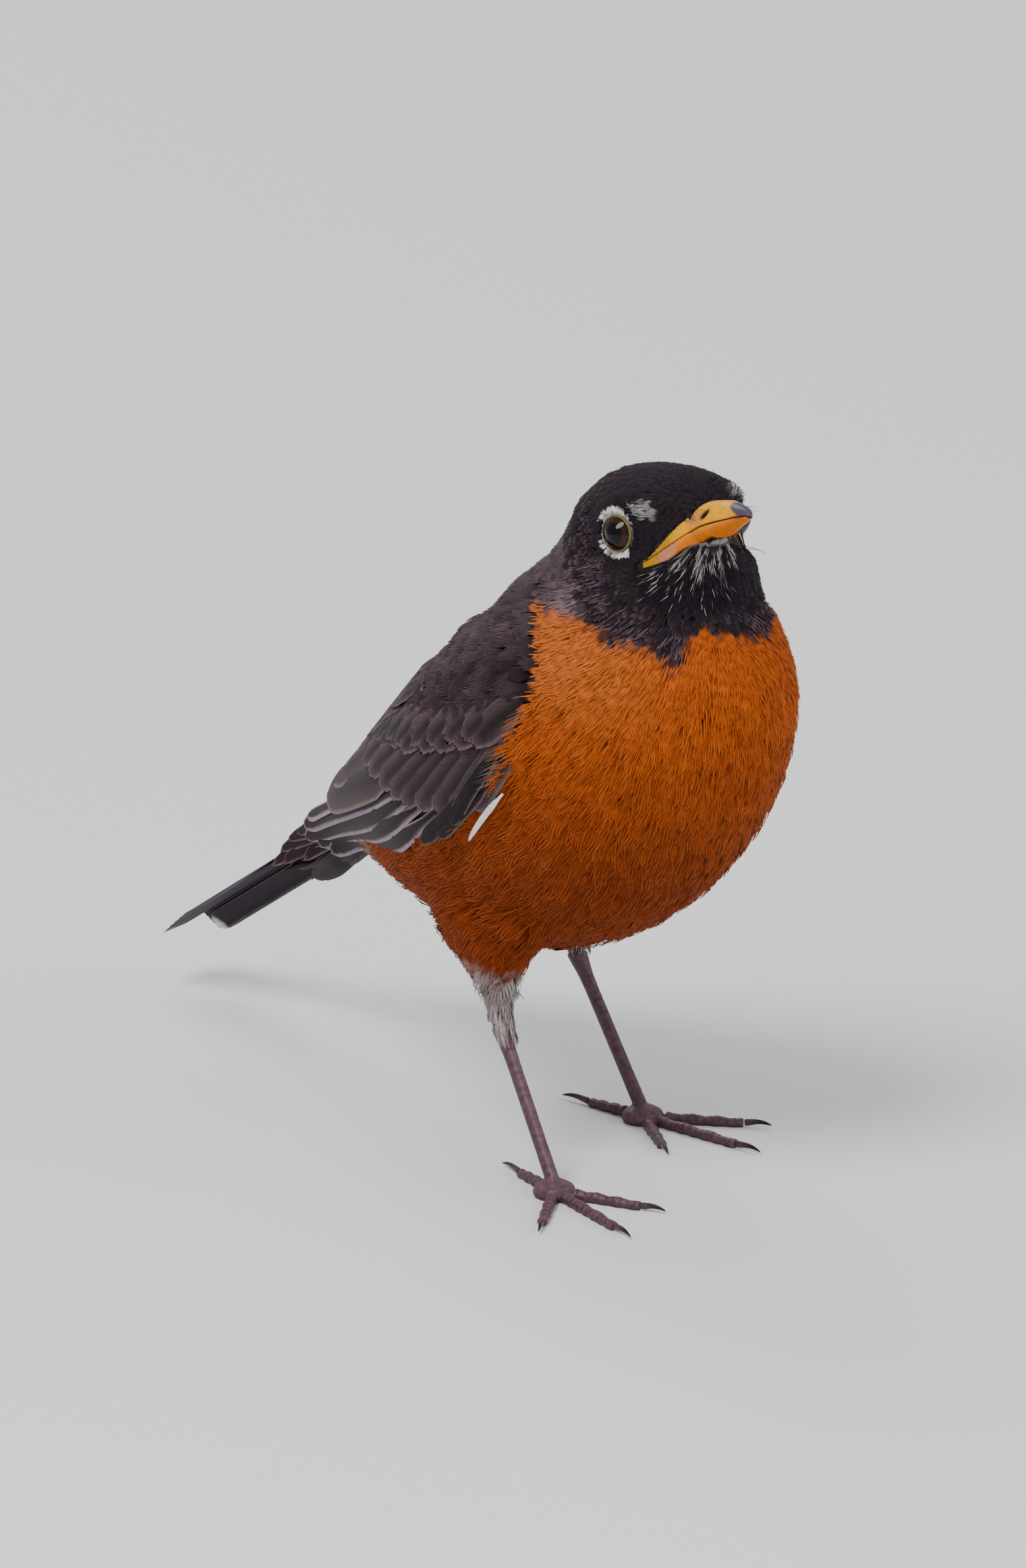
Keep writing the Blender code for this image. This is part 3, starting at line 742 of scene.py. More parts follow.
def zones(points):
    """Share of each marking at points in mm."""
    x, y, z = points.T
    turn = np.degrees(np.arctan2(x - NECK_CENTRE[0], NECK_CENTRE[1] - y))
    hood = ease(z - np.interp(turn, HOOD_TURN, HOOD_EDGE), *HOOD_FADE)
    back = np.maximum(ease(back_height(points), *BACK_FADE), ease(z, *NAPE_FADE))
    vent = ease(y, *VENT_START) * (1 - ease(back_height(points), *VENT_TOP))
    vent = vent * (1 - ease(np.abs(x - MIDLINE), *VENT_SIDE))
    cuff = 1 - ease(z, *CUFF_FADE)
    local = points - BILL_BASE
    aside = local @ TO_LEFT
    below = local @ -UPWARD
    behind = local @ -AHEAD
    from_tip, _, high = bill_axes(points)
    chin_line = np.interp(from_tip, *CHIN_LINE)
    throat = 1 - ease(np.abs(aside + 1.2) - below * 0.15, *THROAT_SIDE)
    throat = throat * (1 - ease(high, chin_line - 1.1, chin_line))
    throat = throat * (1 - ease(below, *THROAT_END)) * (1 - ease(behind, *THROAT_BACK))
    chin = throat * (1 - ease(below, *CHIN_END))
    # White streaks fan out down the throat, closest together under the bill.
    fan = (aside + 1.0) / (below + 9.0)
    stripes = np.sin(fan * 64 + 1.7 * np.sin(fan * 23 + below * 0.3))
    streaks = throat * ease(stripes + 0.12 * (8 - below), 0.0, 0.9)
    ear = hood * ease(bill_distance(points), 19, 27) * (1 - 0.75 * ease(z, 120, 129))
    arcs, brow, lore = np.zeros((3, len(points)))
    for side in ("left", "right"):
        far, angle, _ = around_eye(points, side)
        angle = np.mod(angle + 90, 360) - 90
        edge = np.where(angle < 182, np.interp(angle, *ARC_ABOVE), np.interp(angle, *ARC_BELOW))
        edge = np.where(angle < -20, np.interp(angle, *ARC_FRONT), edge)
        arcs = np.maximum(arcs, 1 - ease(far - edge, -0.05, 0.25))
        ahead, rise = far * np.cos(np.radians(angle)), far * np.sin(np.radians(angle))
        middle_ahead, middle_rise = BROW_SPOT[side]
        streak = gauss(ahead - middle_ahead, 2.6) * gauss(rise - middle_rise + 0.15 * (ahead - 5.0), 1.5)
        lore = np.maximum(lore, gauss(ahead - 7.5, 4.0) * gauss(rise + 0.5, 2.8))
        brow = np.maximum(brow, ease(streak, 0.45, 0.7) * (1 - ease(lore, 0.2, 0.5)))
    return {"hood": hood, "back": back, "vent": vent, "cuff": cuff, "throat": throat, "streaks": streaks,
            "chin": chin, "ear": ear, "arcs": arcs, "brow": brow, "lore": lore}


def base_colour(points, zone):
    """The body colour of the plumage at each point, with painted shade toward the belly and a painted
    highlight on the upper right of the breast.
    """
    x, _, z = points.T
    # Painted shade: the orange darkens toward the belly.
    orange = mix(ORANGE, ORANGE_IN_SHADE, 0.95 * ease(z, 101, 50))
    # Painted highlight: the upper breast on the bird's right is mixed toward pale orange.
    sunlit = gauss(x - MIDLINE + 24, 9) * ease(z, 84, 104)
    orange = mix(orange, PALE_ORANGE, 0.35 * sunlit)
    tone = mix(orange, WHITE * 0.8, zone["vent"])
    tone = mix(tone, CUFF, zone["cuff"])
    tone = mix(tone, MANTLE, zone["back"])
    shoulder = gauss(np.linalg.norm((points - SHOULDER_SPOT) / SHOULDER_SIZE, axis=1), 1.0)
    tone = mix(tone, LILAC * 1.3, shoulder * (1 - zone["hood"]) * ease(z, 106, 109))
    tone = mix(tone, BLACK, zone["hood"])
    tone = mix(tone, WHITE * 0.62, np.maximum(zone["chin"] * 0.8, zone["streaks"] * 0.5))
    tone = mix(tone, WHITE, zone["brow"] * 0.25)
    return mix(tone, WHITE, zone["arcs"])


def skin_finish():
    """Down-covered skin: the plumage's colours, darkened, with a fine broken grain."""
    made, tree, shader = new_material("skin_down", Roughness=0.9)
    place = node_of(tree, "ShaderNodeTexCoord", {}).outputs["Object"]
    grain = noise_of(tree, {"Scale": 900, "Detail": 6, "Vector": place})
    inputs = {"Factor": 0.8, "A": attribute_of(tree, "tint", "Color"), "B": grain}
    dim = node_of(tree, "ShaderNodeMix", inputs, data_type="RGBA", blend_type="MULTIPLY")
    tree.links.new(dim.outputs["Result"], shader.inputs["Base Color"])
    roughen(tree, shader, grain, 0.6, 0.3)
    return made


# The folded wing's own chart: mm along it from the wrist, and degrees round it from the back.
WRIST = np.array((MIDLINE, -50.5, 96.0))
WING_END = np.array((MIDLINE, 75.5, 23.0))
WING_LINE = unit(WING_END - WRIST)
WING_UP = np.array((0, -WING_LINE[2], WING_LINE[1]))
MEDIAN_EDGE = ([-4, 9, 21, 33.5, 47, 54], [110, 105, 98, 91.5, 84, 80])
WING_EDGE = ([-8, 0, 9.5, 20.5, 25, 56, 80, 100, 122], [101, 108, 117, 121, 122.5, 121.5, 113, 101, 96])
WING_FRONT = ([50, 67, 90, 100, 108], [-3.5, -5.5, -7.0, -5.0, -1.0])


def wing_chart(points):
    offset = points - WRIST
    return offset @ WING_LINE, np.degrees(np.arctan2(np.abs(offset[:, 0]), offset @ WING_UP))


def under_wing(points):
    """Which points lie under the folded wing: first its feathered arm, then the part its long vanes cover."""
    along, turn = wing_chart(points)
    edge = np.interp(along, *WING_EDGE)
    covered = (along > np.interp(turn, *WING_FRONT)) & (along < 125)
    covered &= (turn > np.interp(along, [40, 50], [41, 51])) & (turn < edge - 0.5)
    arm = covered & (along < 46) & (turn > 43) & (turn < np.interp(along, *MEDIAN_EDGE) - 1)
    return arm, covered & ~arm


skin_points = corners(skin)
skin_arm, skin_covered = under_wing(skin_points)
# Painted shade: the skin takes the plumage's colours darkened, and wing-dark under the folded wing, as shade
# in the gaps between feathers.
tint = base_colour(skin_points, zones(skin_points)) * 0.7
tint[skin_arm | skin_covered] = WING_DARK
paint(skin, "tint", tint)
skin.data.materials.append(skin_finish())
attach(skin, "root")
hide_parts(*FLESH)

# ---------------------------------------------------------------- contour feathers
# The small feathers of head and body: soft webs of keratin barbs, rooted in the skin and lying backward
# over each other like shingles. Each is one thin web that splits into barbs at its tip.
below_skin = ("tail", "tarsus_left", "tarsus_right")
skin_tree = solid_of([skin, *bill.values()] + [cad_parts[node] for node in below_skin])
horn_tree = solid_of(bill.values())
FLOW_START = bill_place(8.0, 0.0, 1.0)
ROW_PLACES = np.array([0.0, 0.32, 0.58, 0.8, 1.0])
ROW_RISE = np.array([-0.15, 0.5, 0.84, 0.96, 1.0])
PATCH = 0.003  # each feather's share of the OFBake map
shins = {side: (rear_middle(f"thigh_{side}", 0.9), middle(f"tarsus_{side}")) for side in ("left", "right")}


def lie(points, normals, arm):
    """The direction in which feathers lie, along the skin."""
    away = unit(points - FLOW_START)
    flank = ease(np.abs(points[:, 0] - MIDLINE), 10, 24) * ease(points[:, 2], 52, 72)
    low = 1 - ease(points[:, 2], 52, 72)
    course = away + flank[:, None] * np.array((0, 0.35, 0.0)) + low[:, None] * np.array((0, 0.55, 0.1))
    along, turn = wing_chart(points)
    beside = (1 - ease(turn - np.interp(along, *WING_EDGE), 1, 16)) * ease(along, -14, -4) * (turn > 55)
    course = course * (1 - beside[:, None]) + np.outer(beside, WING_LINE)
    course = np.where(arm[:, None], WING_LINE, course)
    for knee, ankle in shins.values():
        near = 1 - ease(np.hypot(points[:, 0] - knee[0], points[:, 1] - knee[1]), 10, 16)
        near = near * (1 - ease(points[:, 2], 38, 50))
        course = course + np.outer(near * 1.6, unit(ankle - knee))
    for side in ("left", "right"):
        axis = eye_frame(side)[0]
        offset = points - EYES[side]
        outward = unit(offset - np.outer(offset @ axis, axis))
        course = course + outward * (1.6 * (1 - ease(around_eye(points, side)[0], 4.4, 7.0)))[:, None]
    course = course - normals * (course * normals).sum(axis=1, keepdims=True)
    return unit(course)


def scatter(thing, spacing, chance):
    """Roots spread over a mesh, no two closer than the spacing there: points, normals and map places."""
    mesh = thing.data
    mesh.calc_loop_triangles()
    faces = rows_of(mesh.loop_triangles, "vertices", 3, np.int32)
    loops = rows_of(mesh.loop_triangles, "loops", 3, np.int32)
    mesh_points, mesh_normals = corners(thing), vertex_normals(thing)
    a, b, c = (mesh_points[faces[:, k]] for k in range(3))
    area = np.linalg.norm(np.cross(b - a, c - a), axis=1) / 2
    count = random.poisson(area / spacing((a + b + c) / 3) ** 2 * chance)
    pick = np.repeat(np.arange(len(faces)), count)
    share = random.random((len(pick), 2))
    share = np.where(share.sum(axis=1, keepdims=True) > 1, 1 - share, share)
    weights = np.stack([1 - share.sum(axis=1), share[:, 0], share[:, 1]], axis=1)
    roots = (weights[:, :, None] * np.stack([a[pick], b[pick], c[pick]], axis=1)).sum(axis=1)
    normals = unit((weights[:, :, None] * mesh_normals[faces[pick]]).sum(axis=1))
    places = np.zeros((len(roots), 2))
    if "OFBake" in mesh.uv_layers:
        uv = rows_of(mesh.uv_layers["OFBake"].data, "uv", 2)
        places = (weights[:, :, None] * uv[loops[pick]]).sum(axis=1)
    tree = KDTree(len(roots))
    for index, root in enumerate(roots):
        tree.insert(root, index)
    tree.balance()
    alive = np.ones(len(roots), bool)
    chosen = []
    gap = spacing(roots)
    for index in random.permutation(len(roots)):
        if alive[index]:
            chosen.append(index)
            for _, other, _ in tree.find_range(roots[index], gap[index]):
                alive[other] = False
    return roots[chosen], normals[chosen], places[chosen]


def centre_lines(roots, normals, course, length, rows):
    """Walks each feather's midrib over the skin: points and normals for every row."""
    lines = np.empty((len(roots), len(rows), 3))
    rises = np.empty_like(lines)
    for index in range(len(roots)):
        here = Vector(roots[index])
        ahead = Vector(course[index])
        up = Vector(normals[index])
        before = 0.0
        for row, share in enumerate(rows):
            here = here + ahead * float((share - before) * length[index])
            before = share
            hit, normal = skin_tree.find_nearest(here * MM)[:2]
            here = hit / MM
            up = (up * 0.4 + normal * 0.6).normalized()
            ahead = (ahead - up * ahead.dot(up)).normalized()
            lines[index, row] = here
            rises[index, row] = up
    return lines, rises


def web_template(barbs):
    """Columns, rows and faces of one feather's web with its free barbs."""
    across = np.linspace(-1, 1, barbs + 1)
    u = [across * k for k in (0.35, 0.9, 1.0)]
    v = [np.zeros(barbs + 1), np.full(barbs + 1, 0.32), 0.62 - 0.14 * across**2]
    row = [np.full(barbs + 1, k) for k in range(3)]
    faces = []
    for low in range(2):
        for i in range(barbs):
            a, b = low * (barbs + 1) + i, (low + 1) * (barbs + 1) + i
            faces += [(a, a + 1, b + 1), (a, b + 1, b)]
    centre = (across[1:] + across[:-1]) / 2
    half = 0.6 / barbs
    end = 1.0 - 0.30 * np.abs(centre) ** 2.2
    start = 3 * (barbs + 1)
    for i in range(barbs):
        base = start + 3 * i
        mid = (end[i] + 0.6) / 2
        u += [np.array([centre[i] - half, centre[i] + half]) * 1.02, np.array([centre[i] * 0.93])]
        v += [np.array([mid, mid]), np.array([end[i]])]
        row += [np.array([3, 3]), np.array([4])]
        left = 2 * (barbs + 1) + i
        faces += [(left, left + 1, base + 1), (left, base + 1, base), (base, base + 1, base + 2)]
    return np.concatenate(u), np.concatenate(v), np.concatenate(row), np.array(faces)


def grow(name, roots, normals, places, course, size, wide, depth, barbs, colour, loose=1.0, bow=0.1):
    """One joined mesh of feathers, with each vertex's colour and its place on its web. Looser feathers
    vary more in lift, bend and barbs, and the bow is how far each web's edges curl down."""
    u, v, row, faces = web_template(barbs)
    lines, rises = centre_lines(roots, normals, course, size, ROW_PLACES)
    count, each = len(roots), len(u)
    ahead = unit(np.gradient(lines, axis=1))
    side = unit(np.cross(ahead, rises))
    at = np.clip(v, 0, 1)
    low = np.clip(np.searchsorted(ROW_PLACES, at, side="right") - 1, 0, len(ROW_PLACES) - 2)
    part = ((at - ROW_PLACES[low]) / (ROW_PLACES[low + 1] - ROW_PLACES[low]))[None, :, None]

    def along(values):
        return values[:, low] * (1 - part) + values[:, low + 1] * part

    rise = np.interp(v, ROW_PLACES, ROW_RISE)[None, :] * depth[:, None]
    lift = random.normal(1, 0.055 * loose, (count, 1))
    tip = (row >= 3)[None, :]
    ruffle = np.where(tip, random.normal(0, 0.03 * loose, (count, each)), 0) * depth[:, None]
    bend = random.normal(0, 0.10 * loose, (count, 1)) * (v**2)[None, :] * size[:, None]
    reach = np.where((row == 4)[None, :], random.normal(0, 0.07 * loose, (count, each)), 0) * size[:, None]
    spread = np.where((row == 4)[None, :], random.normal(0, 0.035 * loose, (count, each)), 0) * wide[:, None]
    sideways = (u[None, :] * wide[:, None] / 2 + bend + spread)[:, :, None]
    height = (rise * lift + ruffle - bow * wide[:, None] * (u**2 * np.minimum(v * 2, 1))[None, :])[:, :, None]
    points = along(lines) + along(side) * sideways + along(rises) * height + along(ahead) * reach[:, :, None]
    all_faces = (faces[None] + (np.arange(count) * each)[:, None, None]).reshape(-1, 3)
    thing = thing_of(name, points.reshape(-1, 3), all_faces.tolist())
    map_places(thing, places[:, None, :] + PATCH * np.stack([u * 0.5, v - 0.5], axis=1)[None])
    luck = np.repeat(random.random(count), each)
    paint(thing, "tint", colour(u, v, count, each))
    across = np.tile(u, count) * np.repeat(wide, each)
    place_all(thing, "web", np.stack([across, np.tile(v, count), luck * 50], axis=1))
    return thing


# Spacing and length of the contour feathers: mm from the bill's root, with mm of gap or of web.
FEATHER_GAP = ([0, 5, 12, 24, 38, 55, 90], [0.5, 0.6, 0.8, 1.05, 1.4, 1.75, 2.1])
FEATHER_LENGTH = ([0, 6, 14, 25, 38, 55, 80, 130], [1.3, 1.9, 3.0, 4.6, 6.4, 8.2, 9.0, 9.5])


def body_spacing(points):
    """How far apart feathers are rooted: closest round the eyes, and close down the legs."""
    gap = np.interp(bill_distance(points), *FEATHER_GAP)
    gap = gap * (0.30 + 0.70 * ease(eye_distance(points), 4.8, 8.5))
    return gap * (0.6 + 0.4 * ease(points[:, 2], 30, 44))


def feather_finish(name, rough, sheen, stretched, low, high):
    """Soft barbs: fine streaks along the web over the plumage's own colour, with a dry velvet sheen."""
    made, tree, shader = new_material(name, Roughness=rough, Sheen_Weight=sheen, Sheen_Roughness=0.4,
                                      Specular_IOR_Level=0.1)
    web = attribute_of(tree, "web", "Vector")
    stretch = node_of(tree, "ShaderNodeMapping", {"Vector": web, "Scale": stretched}).outputs["Vector"]
    barbs = noise_of(tree, {"Scale": 1.0, "Detail": 3, "Roughness": 0.6, "Vector": stretch})
    scale_tint(tree, shader, spread_of(tree, barbs, low, high))
    roughen(tree, shader, barbs, 0.35, 0.12)
    return made


def horn_distance(points):
    """How far points lie from the bill, in mm."""
    return np.array([horn_tree.find_nearest(Vector(point * MM))[3] for point in points]) / MM


def stop_at_wing(roots, course, size, arm):
    """Shortens body feathers so that only their last millimetre lies over the folded wing."""
    reach = np.full(len(size), 0.3)
    for share in (0.4, 0.5, 0.6, 0.7, 0.8, 0.9, 1.0):
        first, second = under_wing(roots + course * (size * share)[:, None])
        reach = np.where(first | second, reach, share)
    return np.where(arm, size, np.minimum(size, size * reach + 0.4))


ANKLE_HEIGHT = 29.5  # below this the leg is bare


def coat_plan(thing, spacing, chance, allowed):
    """Everything that a crop of feathers needs: roots, lie, size, width, depth and marked tips."""
    roots, normals, places = scatter(thing, spacing, chance)
    keep = allowed(roots) & (roots[:, 2] > ANKLE_HEIGHT)
    roots, normals, places = roots[keep], normals[keep], places[keep]
    arm, covered = under_wing(roots)
    roots, normals, places, arm = roots[~covered], normals[~covered], places[~covered], arm[~covered]
    from_bill = bill_distance(roots)
    size = np.interp(from_bill, *FEATHER_LENGTH)
    size = size * (0.27 + 0.73 * ease(eye_distance(roots), 4.6, 9)) * (0.5 + 0.5 * ease(roots[:, 2], 30, 44))
    size = size * np.where(arm, 0.75, 1.0) * (1 + 0.5 * (1 - ease(roots[:, 2], 27, 32)))
    size = size * random.normal(1, 0.09, len(size)).clip(0.8, 1.2)
    course = lie(roots, normals, arm)
    size = stop_at_wing(roots, course, size, arm)
    tips = roots + course * size[:, None]
    blur = 0.07 + 0.45 * ease(eye_distance(tips), 5.6, 9)
    tips = tips + random.normal(0, 1, tips.shape) * blur[:, None]
    depth = coat_depth(roots) * random.normal(1, 0.03, len(size))
    return {"roots": roots, "normals": normals, "places": places, "arm": arm, "from_bill": from_bill,
            "size": size, "wide": size * np.interp(from_bill, [0, 25, 60], [0.55, 0.5, 0.55]),
            "course": course, "tips": tips, "depth": depth}


def off_the_bare_parts(roots):
    """Keeps feathers off the lids and off the bill's bare horn."""
    u, _, high = bill_axes(roots)
    gap = horn_distance(roots)
    horn = (u < 27.2) & (high < np.interp(u, *LORE_EDGE) + 0.12) & (high > np.interp(u, *KEEL) + 0.3)
    return (eye_distance(roots) > 3.36) & (gap > 0.1) & ~(horn & (gap < 1.4))


def over_the_bill(roots):
    """The feathered parts of the bill's own root: its brow, and the chin between its branches."""
    u, side, high = bill_axes(roots)
    brow = (u > 13.4) & (u < 19) & (high > np.interp(u, *LORE_EDGE) + 0.15)
    chin = (u > 12.9) & (u < 19) & (high < np.interp(u, *KEEL) + 0.45) & (np.abs(side) < (u - 12.6) * 0.62)
    return brow | chin


def contour_colours(coat, inside):
    """The colour rule for a set of feathers, from where their tips lie."""
    tips, arm = coat["tips"][inside], coat["arm"][inside]
    zone = zones(tips)
    tone = base_colour(tips, zone)
    back = zone["back"] * (1 - zone["hood"])
    plain = (1 - zone["hood"]) * (1 - back) * (1 - zone["vent"]) * (1 - zone["cuff"])
    luck = random.random(len(tips))
    fringe = tone * 1.2
    fringe = mix(fringe, PALE_ORANGE, 0.30 * plain * luck)
    fringe = mix(fringe, MANTLE_FRINGE, back * 0.7)
    fringe = mix(fringe, HOOD_FRINGE * 0.42, zone["hood"] * (1 - zone["streaks"]) * (1 - zone["lore"]))
    fringe = mix(fringe, HOOD_FRINGE * 2.1, zone["ear"] * ease(luck, 0.3, 0.9) * (1 - 0.6 * zone["throat"]))
    fringe = mix(fringe, WHITE, np.maximum(zone["arcs"], zone["brow"] * 0.4))
    upper = 1 - ease(wing_chart(tips)[1], 66, 80)
    webs = mix(WING_BROWN, WING_FRINGE, 0.6 * luck)
    tone = np.where(arm[:, None], mix(WING_DARK * 1.6, MANTLE * 0.8, upper), tone)
    fringe = np.where(arm[:, None], mix(webs, MANTLE_FRINGE * 0.8, upper), fringe)
    patchy = 0.08 + 0.12 * np.maximum(back, arm)
    shade = (1 + random.normal(0, 1, len(tips)) * patchy).clip(0.62, 1.45)[:, None]
    tone, fringe = tone * shade, fringe * shade

    def colour(u, v, count, each):
        rim = np.clip(ease(v, 0.72, 1.0) + 0.5 * ease(np.abs(u), 0.7, 1.0) * ease(v, 0.3, 0.6), 0, 1)
        rim = np.tile(rim, count)[:, None]
        dark = np.tile(0.5 + 0.5 * ease(v, 0.05, 0.6), count)[:, None]
        return np.repeat(tone, each, axis=0) * dark * (1 - rim) + np.repeat(fringe, each, axis=0) * rim

    return colour


CROP_PARTS = ("roots", "normals", "places", "course", "size", "wide")


def plant(name, coat, inside, barbs, loose=1.0, lift=1.0):
    """Grows the chosen feathers of a crop as one piece."""
    parts = [coat[key][inside] for key in CROP_PARTS]
    feathers = grow(name, *parts, coat["depth"][inside] * lift, barbs, contour_colours(coat, inside), loose)
    feathers.data.materials.append(soft_feather)
    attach(feathers, "root")


soft_feather = feather_finish("soft_feather", 0.8, 0.03, (5.5, 1.6, 1.0), 0.62, 1.22)
coat = coat_plan(skin, body_spacing, 3.2, off_the_bare_parts)
HEAD_END = 26  # mm from the bill's root
NECK_END = 48
steep = back_height(coat["roots"]) < 56
arm, far = coat["arm"], coat["from_bill"]
body = (far >= NECK_END) & ~arm
plant("feathers_face", coat, (far < HEAD_END) & ~arm, 7, 0.9)
plant("feathers_neck", coat, (far >= HEAD_END) & (far < NECK_END) & ~arm, 8, 1.1)
plant("feathers_breast", coat, body & steep, 8, 1.1)
plant("feathers_back", coat, body & ~steep, 8)
plant("feathers_wing_arm", coat, arm, 8)
for half, horn in bill.items():
    sprigs = coat_plan(horn, lambda points: np.full(len(points), 0.5), 3.0, over_the_bill)
    sprigs["depth"] = np.full(len(sprigs["roots"]), 0.45)
    sprigs["size"] = sprigs["size"] * 0.9
    plant(f"feathers_bill_root_{half}", sprigs, slice(None), 6, 0.8)

# Wisps: the loose outer barbs of breast, flank and neck, one hair-fine web each.
wisps = coat_plan(skin, lambda points: body_spacing(points) * 0.42, 1.6, off_the_bare_parts)
furry = (back_height(wisps["roots"]) < 57) & (wisps["from_bill"] > 22) & ~wisps["arm"]
furry &= wisps["roots"][:, 2] > 34
wisps["wide"] = random.uniform(0.22, 0.34, len(wisps["roots"]))
plant("feathers_wisps", wisps, furry, 1, 1.3, 1.05)


# Hair-like plumes: white ones among the black fan down from the chin and mark the brow before each eye.
def hair_zone(roots):
    """Which places bear plumes: the throat and the brow, off the bare parts."""
    zone = zones(roots)
    return off_the_bare_parts(roots) & ((zone["throat"] > 0.2) | (zone["brow"] > 0.1))


plumes = coat_plan(skin, lambda points: np.full(len(points), 0.26), 2.2, hair_zone)
count = len(plumes["roots"])
zone = zones(plumes["roots"])
plumes["wide"] = random.uniform(0.13, 0.22, count)
plumes["size"] = random.uniform(2.4, 4.6, count) * (1 - 0.45 * ease(zone["brow"], 0, 0.5))
odds = np.maximum.reduce([0.04 + 0.8 * zone["streaks"], zone["chin"] * 0.92, zone["brow"] * 0.9])
pale = random.random(count) < odds
tone = np.where(pale[:, None], WHITE * random.uniform(0.12, 0.62, (count, 1)), BLACK * 1.2)
parts = [plumes[key] for key in CROP_PARTS]
feathers = grow("feathers_plumes", *parts, plumes["depth"] * np.where(pale, 1.3, 1.2) + 0.12, 1,
                lambda u, v, count, each: np.repeat(tone, each, axis=0), 1.3)
feathers.data.materials.append(soft_feather)
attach(feathers, "root")
# ---------------------------------------------------------------- wings
# Folded wings: rows of coverts over tertials, secondaries and primaries. Each feather is a stiff vane of
# zipped barbs on a raised shaft, laid over the wing's own solid and overlapping the one outside it.
COLUMNS = 21
VANE_ROWS = 16
SPINE_STEPS = 24
CHART_LOW = ([-5, 0, 46, 83, 90, 100, 110, 120], [60, 50, 42, 55, 58, 61, 69, 73])
CHART_HIGH = ([-5, 0, 10, 20, 46, 83, 90, 100, 110, 120], [95, 108, 118, 123, 122, 114, 107, 100, 98, 96])


def wing_surface(side):
    """A chart of the folded wing: mm along it and degrees round it from the back give a point in mm."""
    parts = [f"wing_{side}_{part}" for part in ("coverts", "secondaries", "primaries")]
    tree = solid_of([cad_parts[node] for node in parts])
    out = np.array((1.0 if side == "left" else -1.0, 0, 0))
    found = []
    for distance in np.linspace(-4, 121, 64):
        for turn in np.linspace(44, 124, 41):
            centre = WRIST + WING_LINE * distance
            beam = WING_UP * math.cos(math.radians(turn)) + out * math.sin(math.radians(turn))
            hit = tree.ray_cast(Vector((centre + beam * 70) * MM), Vector(-beam))[0]
            if hit is not None:
                found.append((distance, turn, np.linalg.norm(np.array(hit) / MM - centre)))
    found = np.array(found)

    def terms(along, degrees):
        # Both are brought to about -1 to 1 first.
        s, t = (along - 58) / 62, (degrees - 84) / 40
        return np.stack([s**i * t**j for i in range(6) for j in range(4)], axis=-1)

    weights = np.linalg.lstsq(terms(found[:, 0], found[:, 1]), found[:, 2], rcond=None)[0]

    def place(along, degrees):
        along, degrees = np.atleast_1d(along).astype(float), np.atleast_1d(degrees).astype(float)
        low, high = np.interp(along, *CHART_LOW) - 2, np.interp(along, *CHART_HIGH) + 2
        radius = terms(np.clip(along, -4, 121), np.clip(degrees, low, high)) @ weights
        turn = np.radians(degrees)[:, None]
        spoke = WING_UP * np.cos(turn) + out * np.sin(turn)
        return WRIST + along[:, None] * WING_LINE + radius[:, None] * spoke

    return place


def bezier(points, share):
    """Points along a curve that starts at the first place, bends toward the second and ends at the third."""
    a, b, c = (np.asarray(point, float) for point in points)
    share = share[:, None]
    return a * (1 - share) ** 2 + 2 * b * share * (1 - share) + c * share**2


def smoothed(share, values, power):
    """Values along a vane, each column replaced by its best-fitting polynomial."""
    return np.stack([np.polyval(np.polyfit(share, column, power), share) for column in values.T], axis=1)


def vane_on(place, path, outer, inner, rise, look):
    """One vane on a wing's chart, along a bent path. The outer web lies on the lower side."""
    share = np.linspace(0, 1, SPINE_STEPS)
    along, turn = bezier(path, share).T
    spine = smoothed(share, place(along, turn), 3)
    across = place(along, turn + 8) - place(along, turn - 8)
    return lay_vane(spine, smoothed(share, across, 2), outer, inner, rise, **look)


CAMBER = 0.11  # how far a vane's webs curve and slope down from its shaft
SLOPE = 0.05


